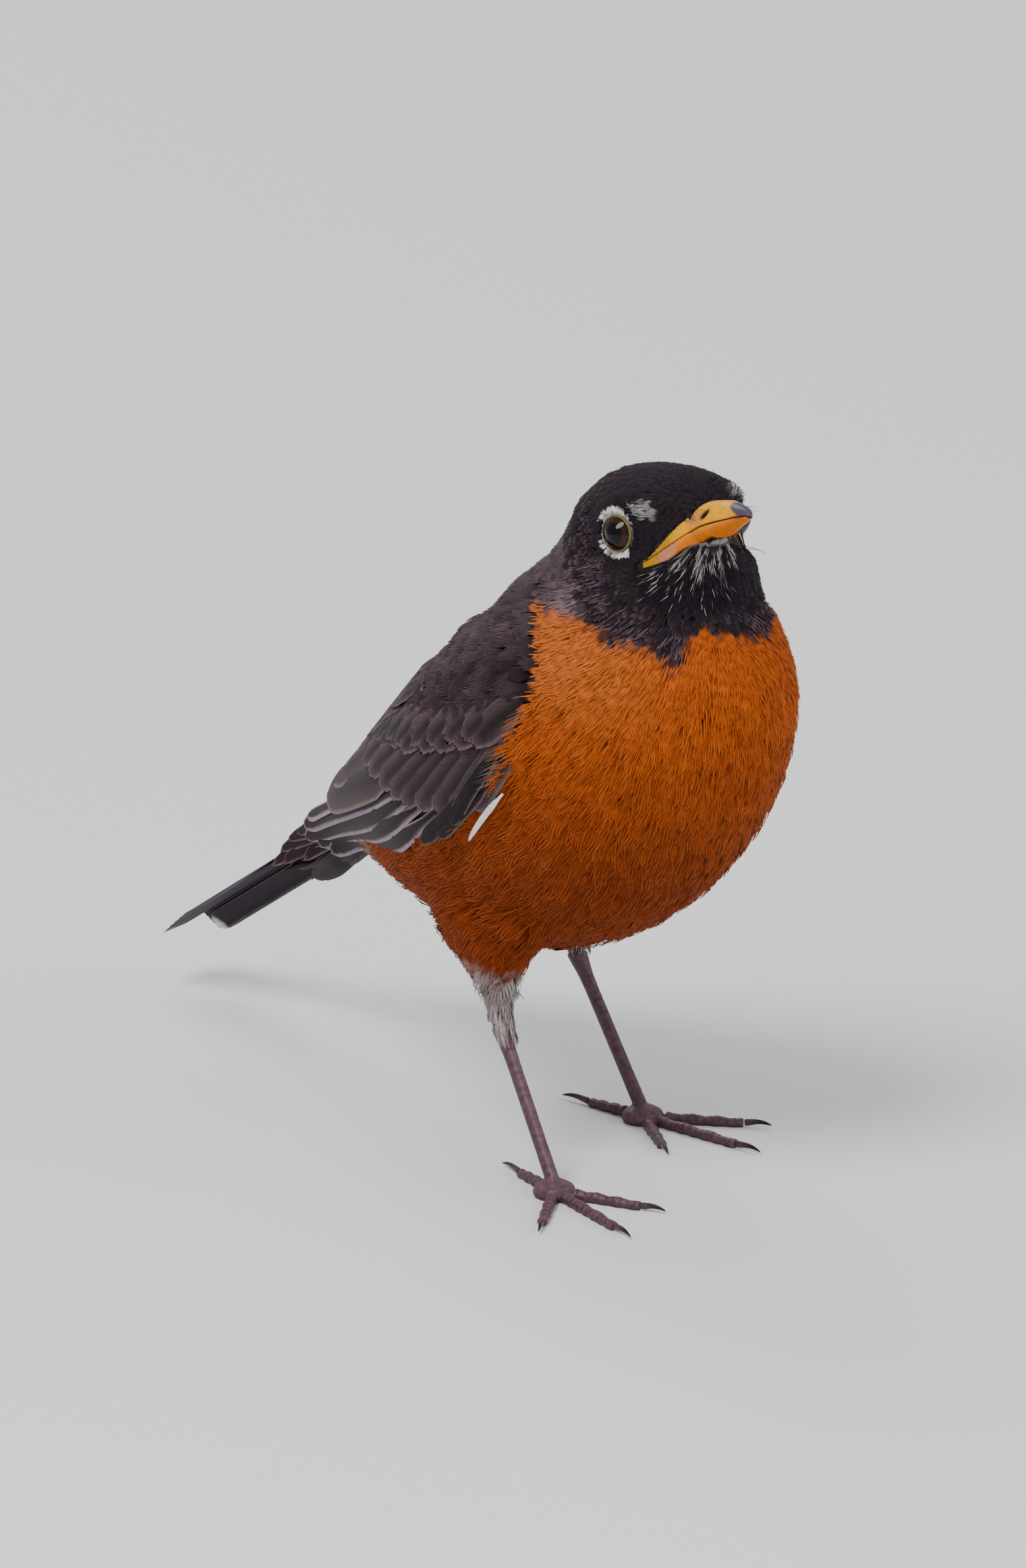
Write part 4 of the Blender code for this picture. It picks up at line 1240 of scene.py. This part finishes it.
def lay_vane(spine, across, outer, inner, rise, blunt, fray, heart, body, rim, rim_wide, quill=0.16):
    """One vane: corners, colours and its web coordinates. The colours run from the shaft to the rim, and
    the rise at root, middle and tip lifts it off the form."""
    share = np.linspace(0, 1, SPINE_STEPS)
    rows = 1 - (1 - np.linspace(0, 1, VANE_ROWS)) ** 1.5
    ahead = unit(np.gradient(spine, axis=0))
    down = unit(across - ahead * (across * ahead).sum(axis=1, keepdims=True))
    up = np.cross(ahead, down)
    facing = spine - (WRIST + np.outer((spine - WRIST) @ WING_LINE, WING_LINE))
    up = up * np.sign((up * facing).sum())

    def at(values):
        return np.stack([np.interp(rows, share, column) for column in values.T], axis=1)[:, None]

    length = np.linalg.norm(np.diff(spine, axis=0), axis=1).sum()
    u = np.linspace(-1, 1, COLUMNS)
    u = np.sign(u) * np.abs(u) ** 0.8
    tip = np.clip((rows - blunt) / (1 - blunt), 0, 1)
    open_web = np.sqrt(np.clip(1 - tip**2, 0, 1)) * (0.35 + 0.65 * ease(rows, 0, 0.3))
    half = np.where(u < 0, inner, outer)
    x = u[None, :] * half[None, :] * open_web[:, None]
    notch = random.normal(0, fray, (VANE_ROWS, COLUMNS)) * ease(rows, 0.4, 1)[:, None] * np.abs(u) ** 3
    shaft = quill * gauss(u, 0.12)[None, :] * (1 - 0.6 * rows[:, None])
    height = np.interp(rows, [0, 0.5, 1], rise)[:, None] + shaft
    height = height - CAMBER * (x**2) / max(inner, 1) - SLOPE * np.abs(x)
    points = at(spine) + at(down) * x[:, :, None] + at(up) * height[:, :, None]
    points = points + at(ahead) * notch[:, :, None]
    to_edge = half[None, :] * open_web[:, None] - np.abs(x)
    to_tip = (1 - rows[:, None]) * length
    near = np.where(u[None, :] > 0, to_edge, to_edge * 3.0)
    near = np.minimum(near, to_tip * 1.6)
    edge = 1 - ease(near + random.normal(0, 0.08, near.shape), rim_wide * 0.45, rim_wide)
    dark = gauss(x / (0.45 * (inner + outer)), 0.6) * ease(to_tip, 0.0, 0.25 * length)
    tint = mix(mix(body, heart, dark.ravel()), rim, edge.ravel())
    tint *= random.normal(1, 0.06)
    barb = rows[:, None] * length - np.abs(x) * 1.3
    web = np.stack([barb, x * 0.25, np.full_like(x, random.random() * 90)], axis=2)
    return points.reshape(-1, 3), tint, web.reshape(-1, 3)


def vane_piece(name, vanes):
    """Joins vanes, with one square of the OFBake map for each."""
    each = VANE_ROWS * COLUMNS
    first = np.arange(each).reshape(VANE_ROWS, COLUMNS)[:-1, :-1].reshape(-1, 1)
    quad = first + (0, 1, COLUMNS + 1, COLUMNS)
    faces = (quad[None] + (np.arange(len(vanes)) * each)[:, None, None]).reshape(-1, 4)
    points, tints, webs = (np.concatenate(part) for part in zip(*vanes))
    thing = thing_of(name, points, faces.tolist())
    map_each(thing, len(vanes), VANE_ROWS, COLUMNS)
    paint(thing, "tint", tints)
    place_all(thing, "web", webs)
    thing.data.materials.append(wing_vane)
    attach(thing, "root")
    return thing


def stepped(start, end, share):
    """A place part of the way from start to end."""
    return tuple(a + (b - a) * share for a, b in zip(start, end))


def jittered(place, spread):
    """A place moved a little at random, first along the wing and then round it."""
    return place[0] + random.normal(0, spread), place[1] + random.normal(0, spread)


# Every place on a wing is mm along it and degrees round it. The rows of tips run from the outer edge inward.
MEDIAN_TIPS = [(9, 105), (15, 101.5), (21, 98), (27, 95), (33.5, 91.5), (40, 88), (47, 84), (54, 80)]
GREATER_TIPS = [(18, 120), (23, 118), (28, 115.5), (33, 112), (37.5, 108.5), (41, 104.5), (45, 99.5),
                (50, 93), (55, 86)]
EDGE_COVERTS = [((4, 110), (25, 121), 1.4), ((8, 115), (37, 121.5), 1.4), ((10, 117), (31, 122.5), 1.3)]
SECONDARY_TIPS = [(98, 86.5), (101, 92), (104, 103), (103, 113), (101, 123)]
SECONDARY_ROOTS = [(42, 103), (43.5, 107.5), (45, 111), (45, 114.5), (42, 118.5)]
SECONDARY_WEBS = [(1.3, 1.2), (1.7, 1.8), (2.0, 2.3), (2.0, 2.3), (2.0, 2.3)]
PRIMARY_TIPS = [(105, 87.5), (109, 88), (113, 89.5), (116.5, 91.5), (119, 94.5), (116, 99), (111, 105)]
TERTIALS = [((34, 95), (62, 97), (83.5, 81.5), 5.0), ((32, 84), (54, 84), (80, 74), 5.0),
            ((30, 70), (48, 70), (70, 65), 5.0), ((38, 60), (58, 60), (74, 62), 4.6),
            ((32, 51), (52, 50), (72, 47), 5.0)]
SCAPULAR_ROWS = [(7, (46, 71), (66, 65)), (7, (45, 66), (64, 60)), (7, (44, 61), (61, 55)),
                 (6, (43, 56), (56, 50))]
LOOKS = {
    "primary": dict(blunt=0.8, fray=0.05, heart=WING_DARK * 0.8, body=WING_DARK, rim=WING_FRINGE * 0.75,
                    rim_wide=0.4),
    "secondary": dict(blunt=0.93, fray=0.06, heart=WING_DARK, body=WING_DARK * 1.15, rim=LILAC, rim_wide=1.0),
    "tertial": dict(blunt=0.78, fray=0.12, heart=WING_DARK * 1.4, body=WING_BROWN * 0.9, rim=WING_FRINGE,
                    rim_wide=0.9),
    "greater": dict(blunt=0.7, fray=0.35, heart=WING_DARK, body=WING_BROWN * 0.85, rim=WING_FRINGE * 0.7,
                    rim_wide=0.8, quill=0.1),
    "edge": dict(blunt=0.85, fray=0.08, heart=WING_DARK * 0.5, body=WING_DARK * 0.7, rim=WING_FRINGE * 0.6,
                 rim_wide=0.4),
    "median": dict(blunt=0.45, fray=0.5, heart=WING_DARK * 0.8, body=WING_BROWN * 0.8, rim=WING_BROWN * 1.5,
                   rim_wide=0.8, quill=0.07),
    "between": dict(blunt=0.45, fray=0.5, heart=WING_DARK, body=WING_BROWN * 0.85, rim=WING_BROWN * 1.4,
                    rim_wide=0.9, quill=0.07),
    "scapular": dict(blunt=0.35, fray=0.7, heart=WING_DARK * 1.5, body=MANTLE * 0.85, rim=MANTLE * 1.35,
                     rim_wide=0.9, quill=0.04),
    "slipped": dict(blunt=0.4, fray=0.25, heart=WHITE * 0.9, body=WHITE * 0.85, rim=WHITE * 0.9, rim_wide=0.3,
                    quill=0.03),
}


def long_vanes(chart):
    """The primaries, then the secondaries with the tertials over them."""
    primaries, secondaries = [], []
    for index, tip in enumerate(PRIMARY_TIPS):
        share = index / (len(PRIMARY_TIPS) - 1)
        path = (stepped((40, 96), (14, 119), share), stepped((76, 92), (80, 127), share), tip)
        deep = -2.0 - 0.24 * index
        rise = (deep, deep, -1.7 - 0.2 * index)
        primaries.append(vane_on(chart, path, 1.6, 1.6 + 0.2 * index, rise, LOOKS["primary"]))
    for index, (root, tip) in enumerate(zip(SECONDARY_ROOTS, SECONDARY_TIPS)):
        outer, inner = SECONDARY_WEBS[index]
        bend = stepped(root, tip, 0.5)
        path = ((root[0] - 14, root[1] - 3.5), (bend[0], bend[1] + 2.5), (tip[0], tip[1] - 3.2 * outer))
        deep = -0.5 - 0.32 * index
        rise = (deep - 0.3, deep, 0.1 - 0.2 * index)
        secondaries.append(vane_on(chart, path, outer, inner, rise, LOOKS["secondary"]))
    for *path, wide in TERTIALS:
        rise = (-0.7, 0.0, 0.15 + 0.1 * wide - 0.5)
        secondaries.append(vane_on(chart, path, wide * 0.85, wide, rise, LOOKS["tertial"]))
    return primaries, secondaries


def greater_coverts(chart):
    vanes = []
    for index, tip in enumerate(GREATER_TIPS):
        share = index / (len(GREATER_TIPS) - 1)
        path = ((tip[0] - 19, tip[1] - 11 + 8 * share), (tip[0] - 8, tip[1] - 3.5 + 2 * share), tip)
        lift = 0.06 * index
        rise = (-0.9 + lift, -0.25 + lift, 0.15 + lift)
        vanes.append(vane_on(chart, path, 2.7, 3.6, rise, LOOKS["greater"]))
    for root, tip, wide in EDGE_COVERTS:
        path = (root, stepped(root, tip, 0.5), tip)
        vanes.append(vane_on(chart, path, wide, wide * 1.3, (-0.3, 0.6, 0.7), LOOKS["edge"]))
    return vanes


def median_coverts(chart):
    """Two interleaved rows."""
    vanes = []
    for index, tip in enumerate(MEDIAN_TIPS):
        share = index / (len(MEDIAN_TIPS) - 1)
        tip = jittered(tip, 0.8)
        root = (tip[0] - 13, tip[1] - 5 + 3 * share)
        path = (root, stepped(root, tip, 0.55), tip)
        vanes.append(vane_on(chart, path, 2.9, 3.4, (-0.8, 0.1, 0.3), LOOKS["median"]))
        tip = (tip[0] + 2.6, tip[1] - 3.4)
        root = (tip[0] - 11, tip[1] - 4)
        path = (root, stepped(root, tip, 0.55), tip)
        vanes.append(vane_on(chart, path, 2.6, 3.0, (-0.8, 0.15, 0.4), LOOKS["between"]))
    return vanes


def scapulars(chart):
    vanes = []
    for row, (count, first, last) in enumerate(SCAPULAR_ROWS):
        height = 0.35 + 0.12 * row
        for index in range(count):
            tip = jittered(stepped(first, last, index / (count - 1)), 0.9)
            root = (tip[0] - 11, tip[1] - 1.5)
            path = (root, stepped(root, tip, 0.5), tip)
            vanes.append(vane_on(chart, path, 2.1, 2.3, (-0.6, height, height), LOOKS["scapular"]))
    return vanes


wing_vane = feather_finish("wing_vane", 0.62, 0.02, (3.2, 1.0, 1.0), 0.72, 1.18)
for side in ("left", "right"):
    chart = wing_surface(side)
    primaries, secondaries = long_vanes(chart)
    coverts = [greater_coverts(chart), median_coverts(chart), scapulars(chart)]
    for part, vanes in (("primaries", primaries), ("secondaries", secondaries)):
        piece = vane_piece(f"wing_{side}_{part}_vanes", vanes)
        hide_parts(f"wing_{side}_{part}")
    for part, vanes in zip(("greater_coverts", "median_coverts", "scapulars"), coverts):
        vane_piece(f"wing_{side}_{part}_vanes", vanes)

# One small white flank feather has slipped out over the right wing's lower edge, with some loose down
# at the wing's front.
DOWN_HAIRS = 60
path = ((8.3, 121.5), (15, 123.5), (22.6, 127))
slipped = vane_on(chart, path, 0.55, 0.6, (0.3, 1.3, 1.6), LOOKS["slipped"])
vane_piece("feather_slipped", [slipped])
share = random.uniform(0.15, 1.0, DOWN_HAIRS)
turn = 101.5 + 15.5 * share + random.normal(0, 1.0, DOWN_HAIRS)
drift = random.normal(0, 0.4, (DOWN_HAIRS, 2))
starts = chart(-7.0 + 17 * share, turn)
ends = chart(-3.2 + 17 * share + drift[:, 0], turn - 0.5 + 1.2 * drift[:, 1])
outward = np.array((-1.0, -0.2, 0.0))
down = bristles("down_wing_edge", starts - 0.3 * outward, ends + 0.5 * outward,
                random.uniform(0.1, 0.6, (DOWN_HAIRS, 1)) * outward, 0.03)
tone = mix(PALE_ORANGE * 0.8, WHITE * 0.35, ease(share, 0.5, 0.9))
paint(down, "tint", np.repeat(tone, BRISTLE_STEPS * BRISTLE_SIDES, axis=0))
down.data.materials.append(horn_finish("down", 0.8, 0.2, 900))
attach(down, "root")

# ---------------------------------------------------------------- tail
# Twelve tail feathers folded to a low roof: the middle pair on top, each outer one a step lower. Long
# dark vanes with a stiff shaft; the outermost have small white corners.
TAIL_DROOP = 4.2  # the fan hangs a little lower at its end, and its left half is folded more steeply
ROOF_RIGHT = 0.32
ROOF_LEFT = 1.25
# For each half of the fan, in mm: the gap between roots, the first vane's end and the step to the next one's
# from the middle, how far the ends reach past the solid's, and how much lower the half lies.
RIGHT_HALF = (-1, 0.5, 1.2, 1.42, 6.4, 0)
LEFT_HALF = (1, 0.75, 0.5, 0.62, 4.0, 0.08)
TAIL_DARK = np.array((0.022, 0.016, 0.022))
TAIL_EDGE = np.array((0.085, 0.062, 0.082))
TAIL_LOOK = dict(blunt=0.93, fray=0.08, heart=TAIL_DARK * 0.8, body=TAIL_DARK, rim=TAIL_EDGE, rim_wide=0.6)
# Each row of tail coverts has its start and end along the tail in mm, and its count.
UPPER_ROWS = ((0, 15, 4), (-4, 11, 6), (-9, 6, 7))
UNDER_ROWS = ((-2, 20, 6), (-8, 12, 7))


def tail_surface():
    """Fits the CAD tail's upper side: mm along it and mm from its middle give a point in mm."""
    points = corners(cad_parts["tail"])
    start = points[points[:, 1] < points[:, 1].min() + 2].mean(axis=0)
    end = points[points[:, 1] > points[:, 1].max() - 4].mean(axis=0)
    line = unit((end - start) * (0, 1, 1))
    rise = np.array((0, -line[2], line[1]))
    along, aside, up = (points - start) @ line, points[:, 0] - MIDLINE, (points - start) @ rise
    terms = np.stack([np.ones_like(along), along, np.abs(aside), aside**2], axis=1)
    weights = np.linalg.lstsq(terms, up, rcond=None)[0]
    above = up > terms @ weights
    level, slope = np.linalg.lstsq(terms[above], up[above], rcond=None)[0][:2]

    def place(distance, offset):
        distance, offset = np.broadcast_arrays(np.atleast_1d(distance), np.atleast_1d(offset))
        steep = np.where(offset < 0, ROOF_RIGHT, ROOF_LEFT)
        height = level + slope * distance - steep * (np.sqrt(offset**2 + 0.6) - 0.77)
        height = height - TAIL_DROOP * np.clip(distance / along.max(), 0, 1.1)
        root = start * (0, 1, 1) + (MIDLINE, 0, 0)
        return root + np.outer(distance, line) + np.outer(offset, (1, 0, 0)) + np.outer(height, rise)

    return place, float(along.max())


tail_place, tail_length = tail_surface()
share = np.linspace(0, 1, SPINE_STEPS)
vanes = []
for rank in range(6):
    for side, gap, first, step, extra, lower in (RIGHT_HALF, LEFT_HALF):
        end = first + step * rank
        offset = np.interp(share, [0, 1], [gap * rank, end]) * side
        distance = share * (tail_length + extra - 0.25 * rank)
        spine = tail_place(distance, offset)
        across = tail_place(distance, offset + side) - tail_place(distance, offset - side)
        outer, inner = (3.0 if rank == 0 else 2.4 - 0.2 * rank), min(4.4, 0.8 * end + 0.4)
        deep = 0.15 - 0.2 * rank - lower
        points, tint, web = lay_vane(spine, across, outer, inner, (deep - 0.2, deep, deep), **TAIL_LOOK)
        if rank == 5:
            far = np.linalg.norm(points - points[-1 - COLUMNS // 2], axis=1)
            tint = mix(tint, WHITE * 0.9, 1 - ease(far + random.normal(0, 0.3, len(far)), 1.4, 2.4))
        vanes.append((points, tint, web))
tail = vane_piece("tail_vanes", vanes)
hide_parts("tail")

coverts = []
for above, rows, rise in ((True, UPPER_ROWS, (0.3, 0.9, 1.1)), (False, UNDER_ROWS, (-2.4, -4.0, -2.6))):
    for start, end, count in rows:
        for index in range(count):
            offset = (index - (count - 1) / 2) * 9.6 / count + random.normal(0, 0.3)
            reach = end + random.normal(0, 0.8) - 0.3 * abs(offset)
            spine = tail_place(start + share * (reach - start), offset * (0.8 + 0.2 * share))
            across = tail_place(1.0, offset + 1) - tail_place(1.0, offset - 1)
            across = np.repeat(across, SPINE_STEPS, axis=0)
            # Painted shade: the under coverts are painted dark, only a little grey at random, though the real
            # ones are white; the upper ones take the mantle's colour.
            body = MANTLE * 0.85 if above else mix(MANTLE * 0.35, WHITE * 0.2, [random.random() * 0.5])[0]
            coverts.append(lay_vane(spine, across, 2.4, 2.4, rise, 0.4, 0.5, MANTLE * 0.5, body, body * 1.3,
                                    0.9, 0.05))
vane_piece("tail_coverts", coverts)

# ---------------------------------------------------------------- cuffs
# Short whitish hair-like feathers that close over each ankle, where the feathered thigh gives way to the
# scaled leg. They are rooted in the skin and lie down the leg: fine tapered strands, joined as one piece.
STRANDS = 300
CUFF_TOP = 7.5
CUFF_RADIUS = ([-5, -1, 1, 4, 7, 8.5], [1.45, 1.7, 1.85, 2.0, 2.6, 3.2])  # by height over the ankle, in mm
HANG = {"left": 1.6, "right": 3.4}


def end_middle(points, top):
    """Centre of the highest or the lowest of some points, in mm."""
    height = points[:, 2] if top else -points[:, 2]
    return points[height > height.max() - 1.5].mean(axis=0)


starts, ends, bows = [], [], []
for side in ("left", "right"):
    leg, thigh = corners(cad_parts[f"tarsus_{side}"]), corners(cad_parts[f"thigh_{side}"])
    ankle = end_middle(leg, True)
    knee = thigh[np.abs(thigh[:, 2] - ankle[2] - CUFF_TOP) < 2].mean(axis=0)
    shin = ankle + unit(leg.mean(axis=0) - ankle) * CUFF_TOP
    aside = np.array((1.0, 0.0, 0.0))
    ahead = unit(np.cross(knee - shin, aside))
    angle = random.uniform(0, 2 * math.pi, STRANDS)
    outward = np.outer(np.cos(angle), aside) + np.outer(np.sin(angle), ahead)

    def around_leg(height, lift):
        above = np.clip(height / CUFF_TOP, 0, 2)[:, None]
        under = np.clip(-height / CUFF_TOP, 0, 2)[:, None]
        radius = np.interp(height, *CUFF_RADIUS) + lift
        return ankle + (knee - ankle) * above + (shin - ankle) * under + outward * radius[:, None]

    height = random.uniform(2.6 - HANG[side], CUFF_TOP, STRANDS)
    long = random.uniform(0.8, 1.2, STRANDS) * (HANG[side] + 0.3)
    starts.append(around_leg(height, -0.35))
    ends.append(around_leg(height - long, 0.12))
    bows.append(outward * random.uniform(0.1, 0.35, (STRANDS, 1)))
cuffs = bristles("feathers_cuff", np.concatenate(starts), np.concatenate(ends), np.concatenate(bows), 0.16)
tone = CUFF * random.uniform(0.5, 2.1, (2 * STRANDS, 1))
paint(cuffs, "tint", np.repeat(tone, BRISTLE_STEPS * BRISTLE_SIDES, axis=0))
cuffs.data.materials.append(horn_finish("cuff", 0.8, 0.2, 900))
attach(cuffs, "root")

# ---------------------------------------------------------------- legs and claws
# Bare legs: a smooth horny shin and toes of overlapping scutes with soft pads under them, grown from
# fused copies of the leg's solids. The claws are curved horn, darker at the point.
LEG_VOXEL = 0.24 * MM
LEG_GROWTH = 0.15 * MM
SCUTE = 1.45
PAD = 2.9
KNOB_SPREAD = 3.4
KNOB_RISE = 0.42
SCUTE_DEPTH = 0.17
PAD_DEPTH = 0.10
PAD_GRAIN = 0.03
LEG_BROWN = np.array((0.062, 0.028, 0.034))
LEG_PAINTED_SHEEN = np.array((0.20, 0.115, 0.155))
CLAW_BASE = np.array((0.075, 0.048, 0.045))
CLAW_POINT = np.array((0.018, 0.012, 0.014))
TOES = ("hind", "inner", "middle", "outer")


def long_axis(points):
    """A bone's centre and its direction, from its solid's corners."""
    centre = points.mean(axis=0)
    return centre, np.linalg.svd(points - centre, full_matrices=False)[2][0]


def build_leg(side):
    nodes = [f"tarsus_{side}"] + [f"toe_{side}_{toe}" for toe in TOES]
    forms = [solid_of([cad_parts[node]]) for node in nodes]
    axes = [long_axis(corners(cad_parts[node])) for node in nodes]
    leg = fuse(f"leg_{side}", [twin(f"leg_part_{node}", node) for node in nodes], LEG_VOXEL, LEG_GROWTH)
    smooth_out(leg, 0.5, 6)
    bone = corners(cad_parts[nodes[0]])
    ankle, heel = end_middle(bone, True), end_middle(bone, False)
    smooth_out(leg, 0.5, 14, 1 - ease(np.linalg.norm(corners(leg) - heel, axis=1), 2.5, 5.0))
    points, normals = corners(leg), vertex_normals(leg)
    knob = gauss(np.linalg.norm(points - ankle, axis=1), KNOB_SPREAD) * KNOB_RISE
    points = points + normals * knob[:, None]
    gaps = np.array([[form.find_nearest(Vector(point * MM))[3] for form in forms] for point in points])
    owner = gaps.argmin(axis=1)
    relief, groove = np.zeros(len(points)), np.zeros(len(points))
    for index, (centre, line) in enumerate(axes):
        mine = owner == index
        along = (points[mine] - centre) @ line
        shin = index == 0
        top = ease(-normals[mine, 1], -0.2, 0.5) * 0.35 if shin else ease(normals[mine, 2], -0.1, 0.5)
        beat = np.mod(along / (SCUTE * (3.2 if shin else 1.0)), 1)
        step = 1 - np.abs(beat - 0.5) * 2
        ridge = 1 - (1 - np.clip(step * 3.5, 0, 1)) ** 2
        under = ease(-normals[mine, 2], 0.1, 0.6) * (0 if shin else 1)
        pads = np.sin(along * 2 * math.pi / PAD) * PAD_DEPTH
        pads = pads + np.sin(along * 31) * np.sin(points[mine, 0] * 23) * PAD_GRAIN
        relief[mine] = top * (ridge - 0.7) * SCUTE_DEPTH + under * pads
        groove[mine] = top * (1 - ridge)
    points = points + normals * relief[:, None]
    points[:, 2] = np.maximum(points[:, 2], 0)
    set_corners(leg, points)
    leg.data.polygons.foreach_set("use_smooth", np.ones(len(leg.data.polygons), bool))
    # Painted sheen: faces turned up and forward are mixed toward a pale lilac.
    lit = ease(normals[:, 2] * 0.6 - normals[:, 1] * 0.4, -0.4, 0.9)
    # Painted shade: the grooves between the scutes are darkened.
    paint(leg, "tint", mix(mix(LEG_BROWN, LEG_PAINTED_SHEEN, 0.55 * lit), LEG_BROWN * 0.4, 0.8 * groove))
    leg.data.materials.append(leg_finish)
    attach(leg, "root")
    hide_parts(*nodes)


def build_claws(side):
    made = []
    for toe in TOES:
        claw = twin(f"claw_part_{side}_{toe}", f"claw_{side}_{toe}")
        round_off = claw.modifiers.new("round_off", "SUBSURF")
        round_off.levels = 2
        apply_all(claw)
        far = np.linalg.norm(corners(claw) - middle(f"toe_{side}_{toe}"), axis=1)
        share = (far - far.min()) / np.ptp(far)
        paint(claw, "tint", mix(CLAW_BASE, CLAW_POINT, ease(share, 0.1, 0.8)))
        made.append(claw)
    select_only(*made)
    bpy.ops.object.join()
    claws = bpy.context.object
    claws.name = f"claws_{side}"
    bpy.ops.object.shade_smooth()
    claws.data.materials.append(claw_finish)
    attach(claws, "root")
    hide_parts(*[f"claw_{side}_{toe}" for toe in TOES])


leg_finish = horn_finish("leg_scales", 0.42, 0.35, 1100)
claw_finish = horn_finish("claw_horn", 0.3, 0.2, 1500)
for side in ("left", "right"):
    build_leg(side)
    build_claws(side)

# ---------------------------------------------------------------- studio
# A plain pale paper floor, far wider than the view, with three large soft lamps round it, and the camera
# low at the bird's right.
FLOOR_SIDE = 60
BIRD_HEART = Vector((0, 0, 0.07))
CAMERA_PLACE = Vector((-1.9412, -2.9962, 1.0843))
CAMERA_AIM = Vector((-0.0041, -0.0133, 0.0645))


def studio_floor():
    bpy.ops.mesh.primitive_plane_add(size=1, location=(0, 0, 0))
    floor = bpy.context.object
    floor.name = "studio_floor"
    floor.scale = (FLOOR_SIDE, FLOOR_SIDE, 1)
    bpy.ops.object.transform_apply(location=True, rotation=True, scale=True)
    made, tree, shader = new_material("floor_paper", Roughness=0.9)
    inputs = {"Value": noise_of(tree, {"Scale": 40}), "To Min": 0.86, "To Max": 0.90}
    tone = node_of(tree, "ShaderNodeMapRange", inputs)
    tree.links.new(tone.outputs["Result"], shader.inputs["Base Color"])
    floor.data.materials.append(made)


def soft_light(name, place, size, power, colour):
    data = bpy.data.lights.new(name, "AREA")
    data.shape = "DISK"
    data.size = size
    data.energy = power
    data.color = colour
    lamp = bpy.data.objects.new(name, data)
    bpy.context.scene.collection.objects.link(lamp)
    lamp.location = place
    lamp.rotation_euler = (BIRD_HEART - Vector(place)).to_track_quat("-Z", "Y").to_euler()


studio_floor()
soft_light("key", (-1.1, -0.5, 1.6), 0.9, 30, (1.0, 0.98, 0.95))
soft_light("fill", (0.9, -1.3, 0.8), 1.2, 8, (0.93, 0.96, 1.0))
soft_light("rim", (0.3, 1.3, 1.2), 0.9, 9, (0.97, 0.98, 1.0))
world = bpy.data.worlds.new("studio")
world.use_nodes = True
sky = world.node_tree.nodes["Background"]
sky.inputs["Color"].default_value = (0.92, 0.95, 1.0, 1)
sky.inputs["Strength"].default_value = 0.55
bpy.context.scene.world = world
lens = bpy.data.cameras.new("camera")
lens.lens = 475.7
lens.sensor_width = 36
camera = bpy.data.objects.new("camera", lens)
bpy.context.scene.collection.objects.link(camera)
camera.location = CAMERA_PLACE
camera.rotation_euler = (CAMERA_AIM - CAMERA_PLACE).to_track_quat("-Z", "Y").to_euler()
lens.clip_end = 50
bpy.context.scene.camera = camera
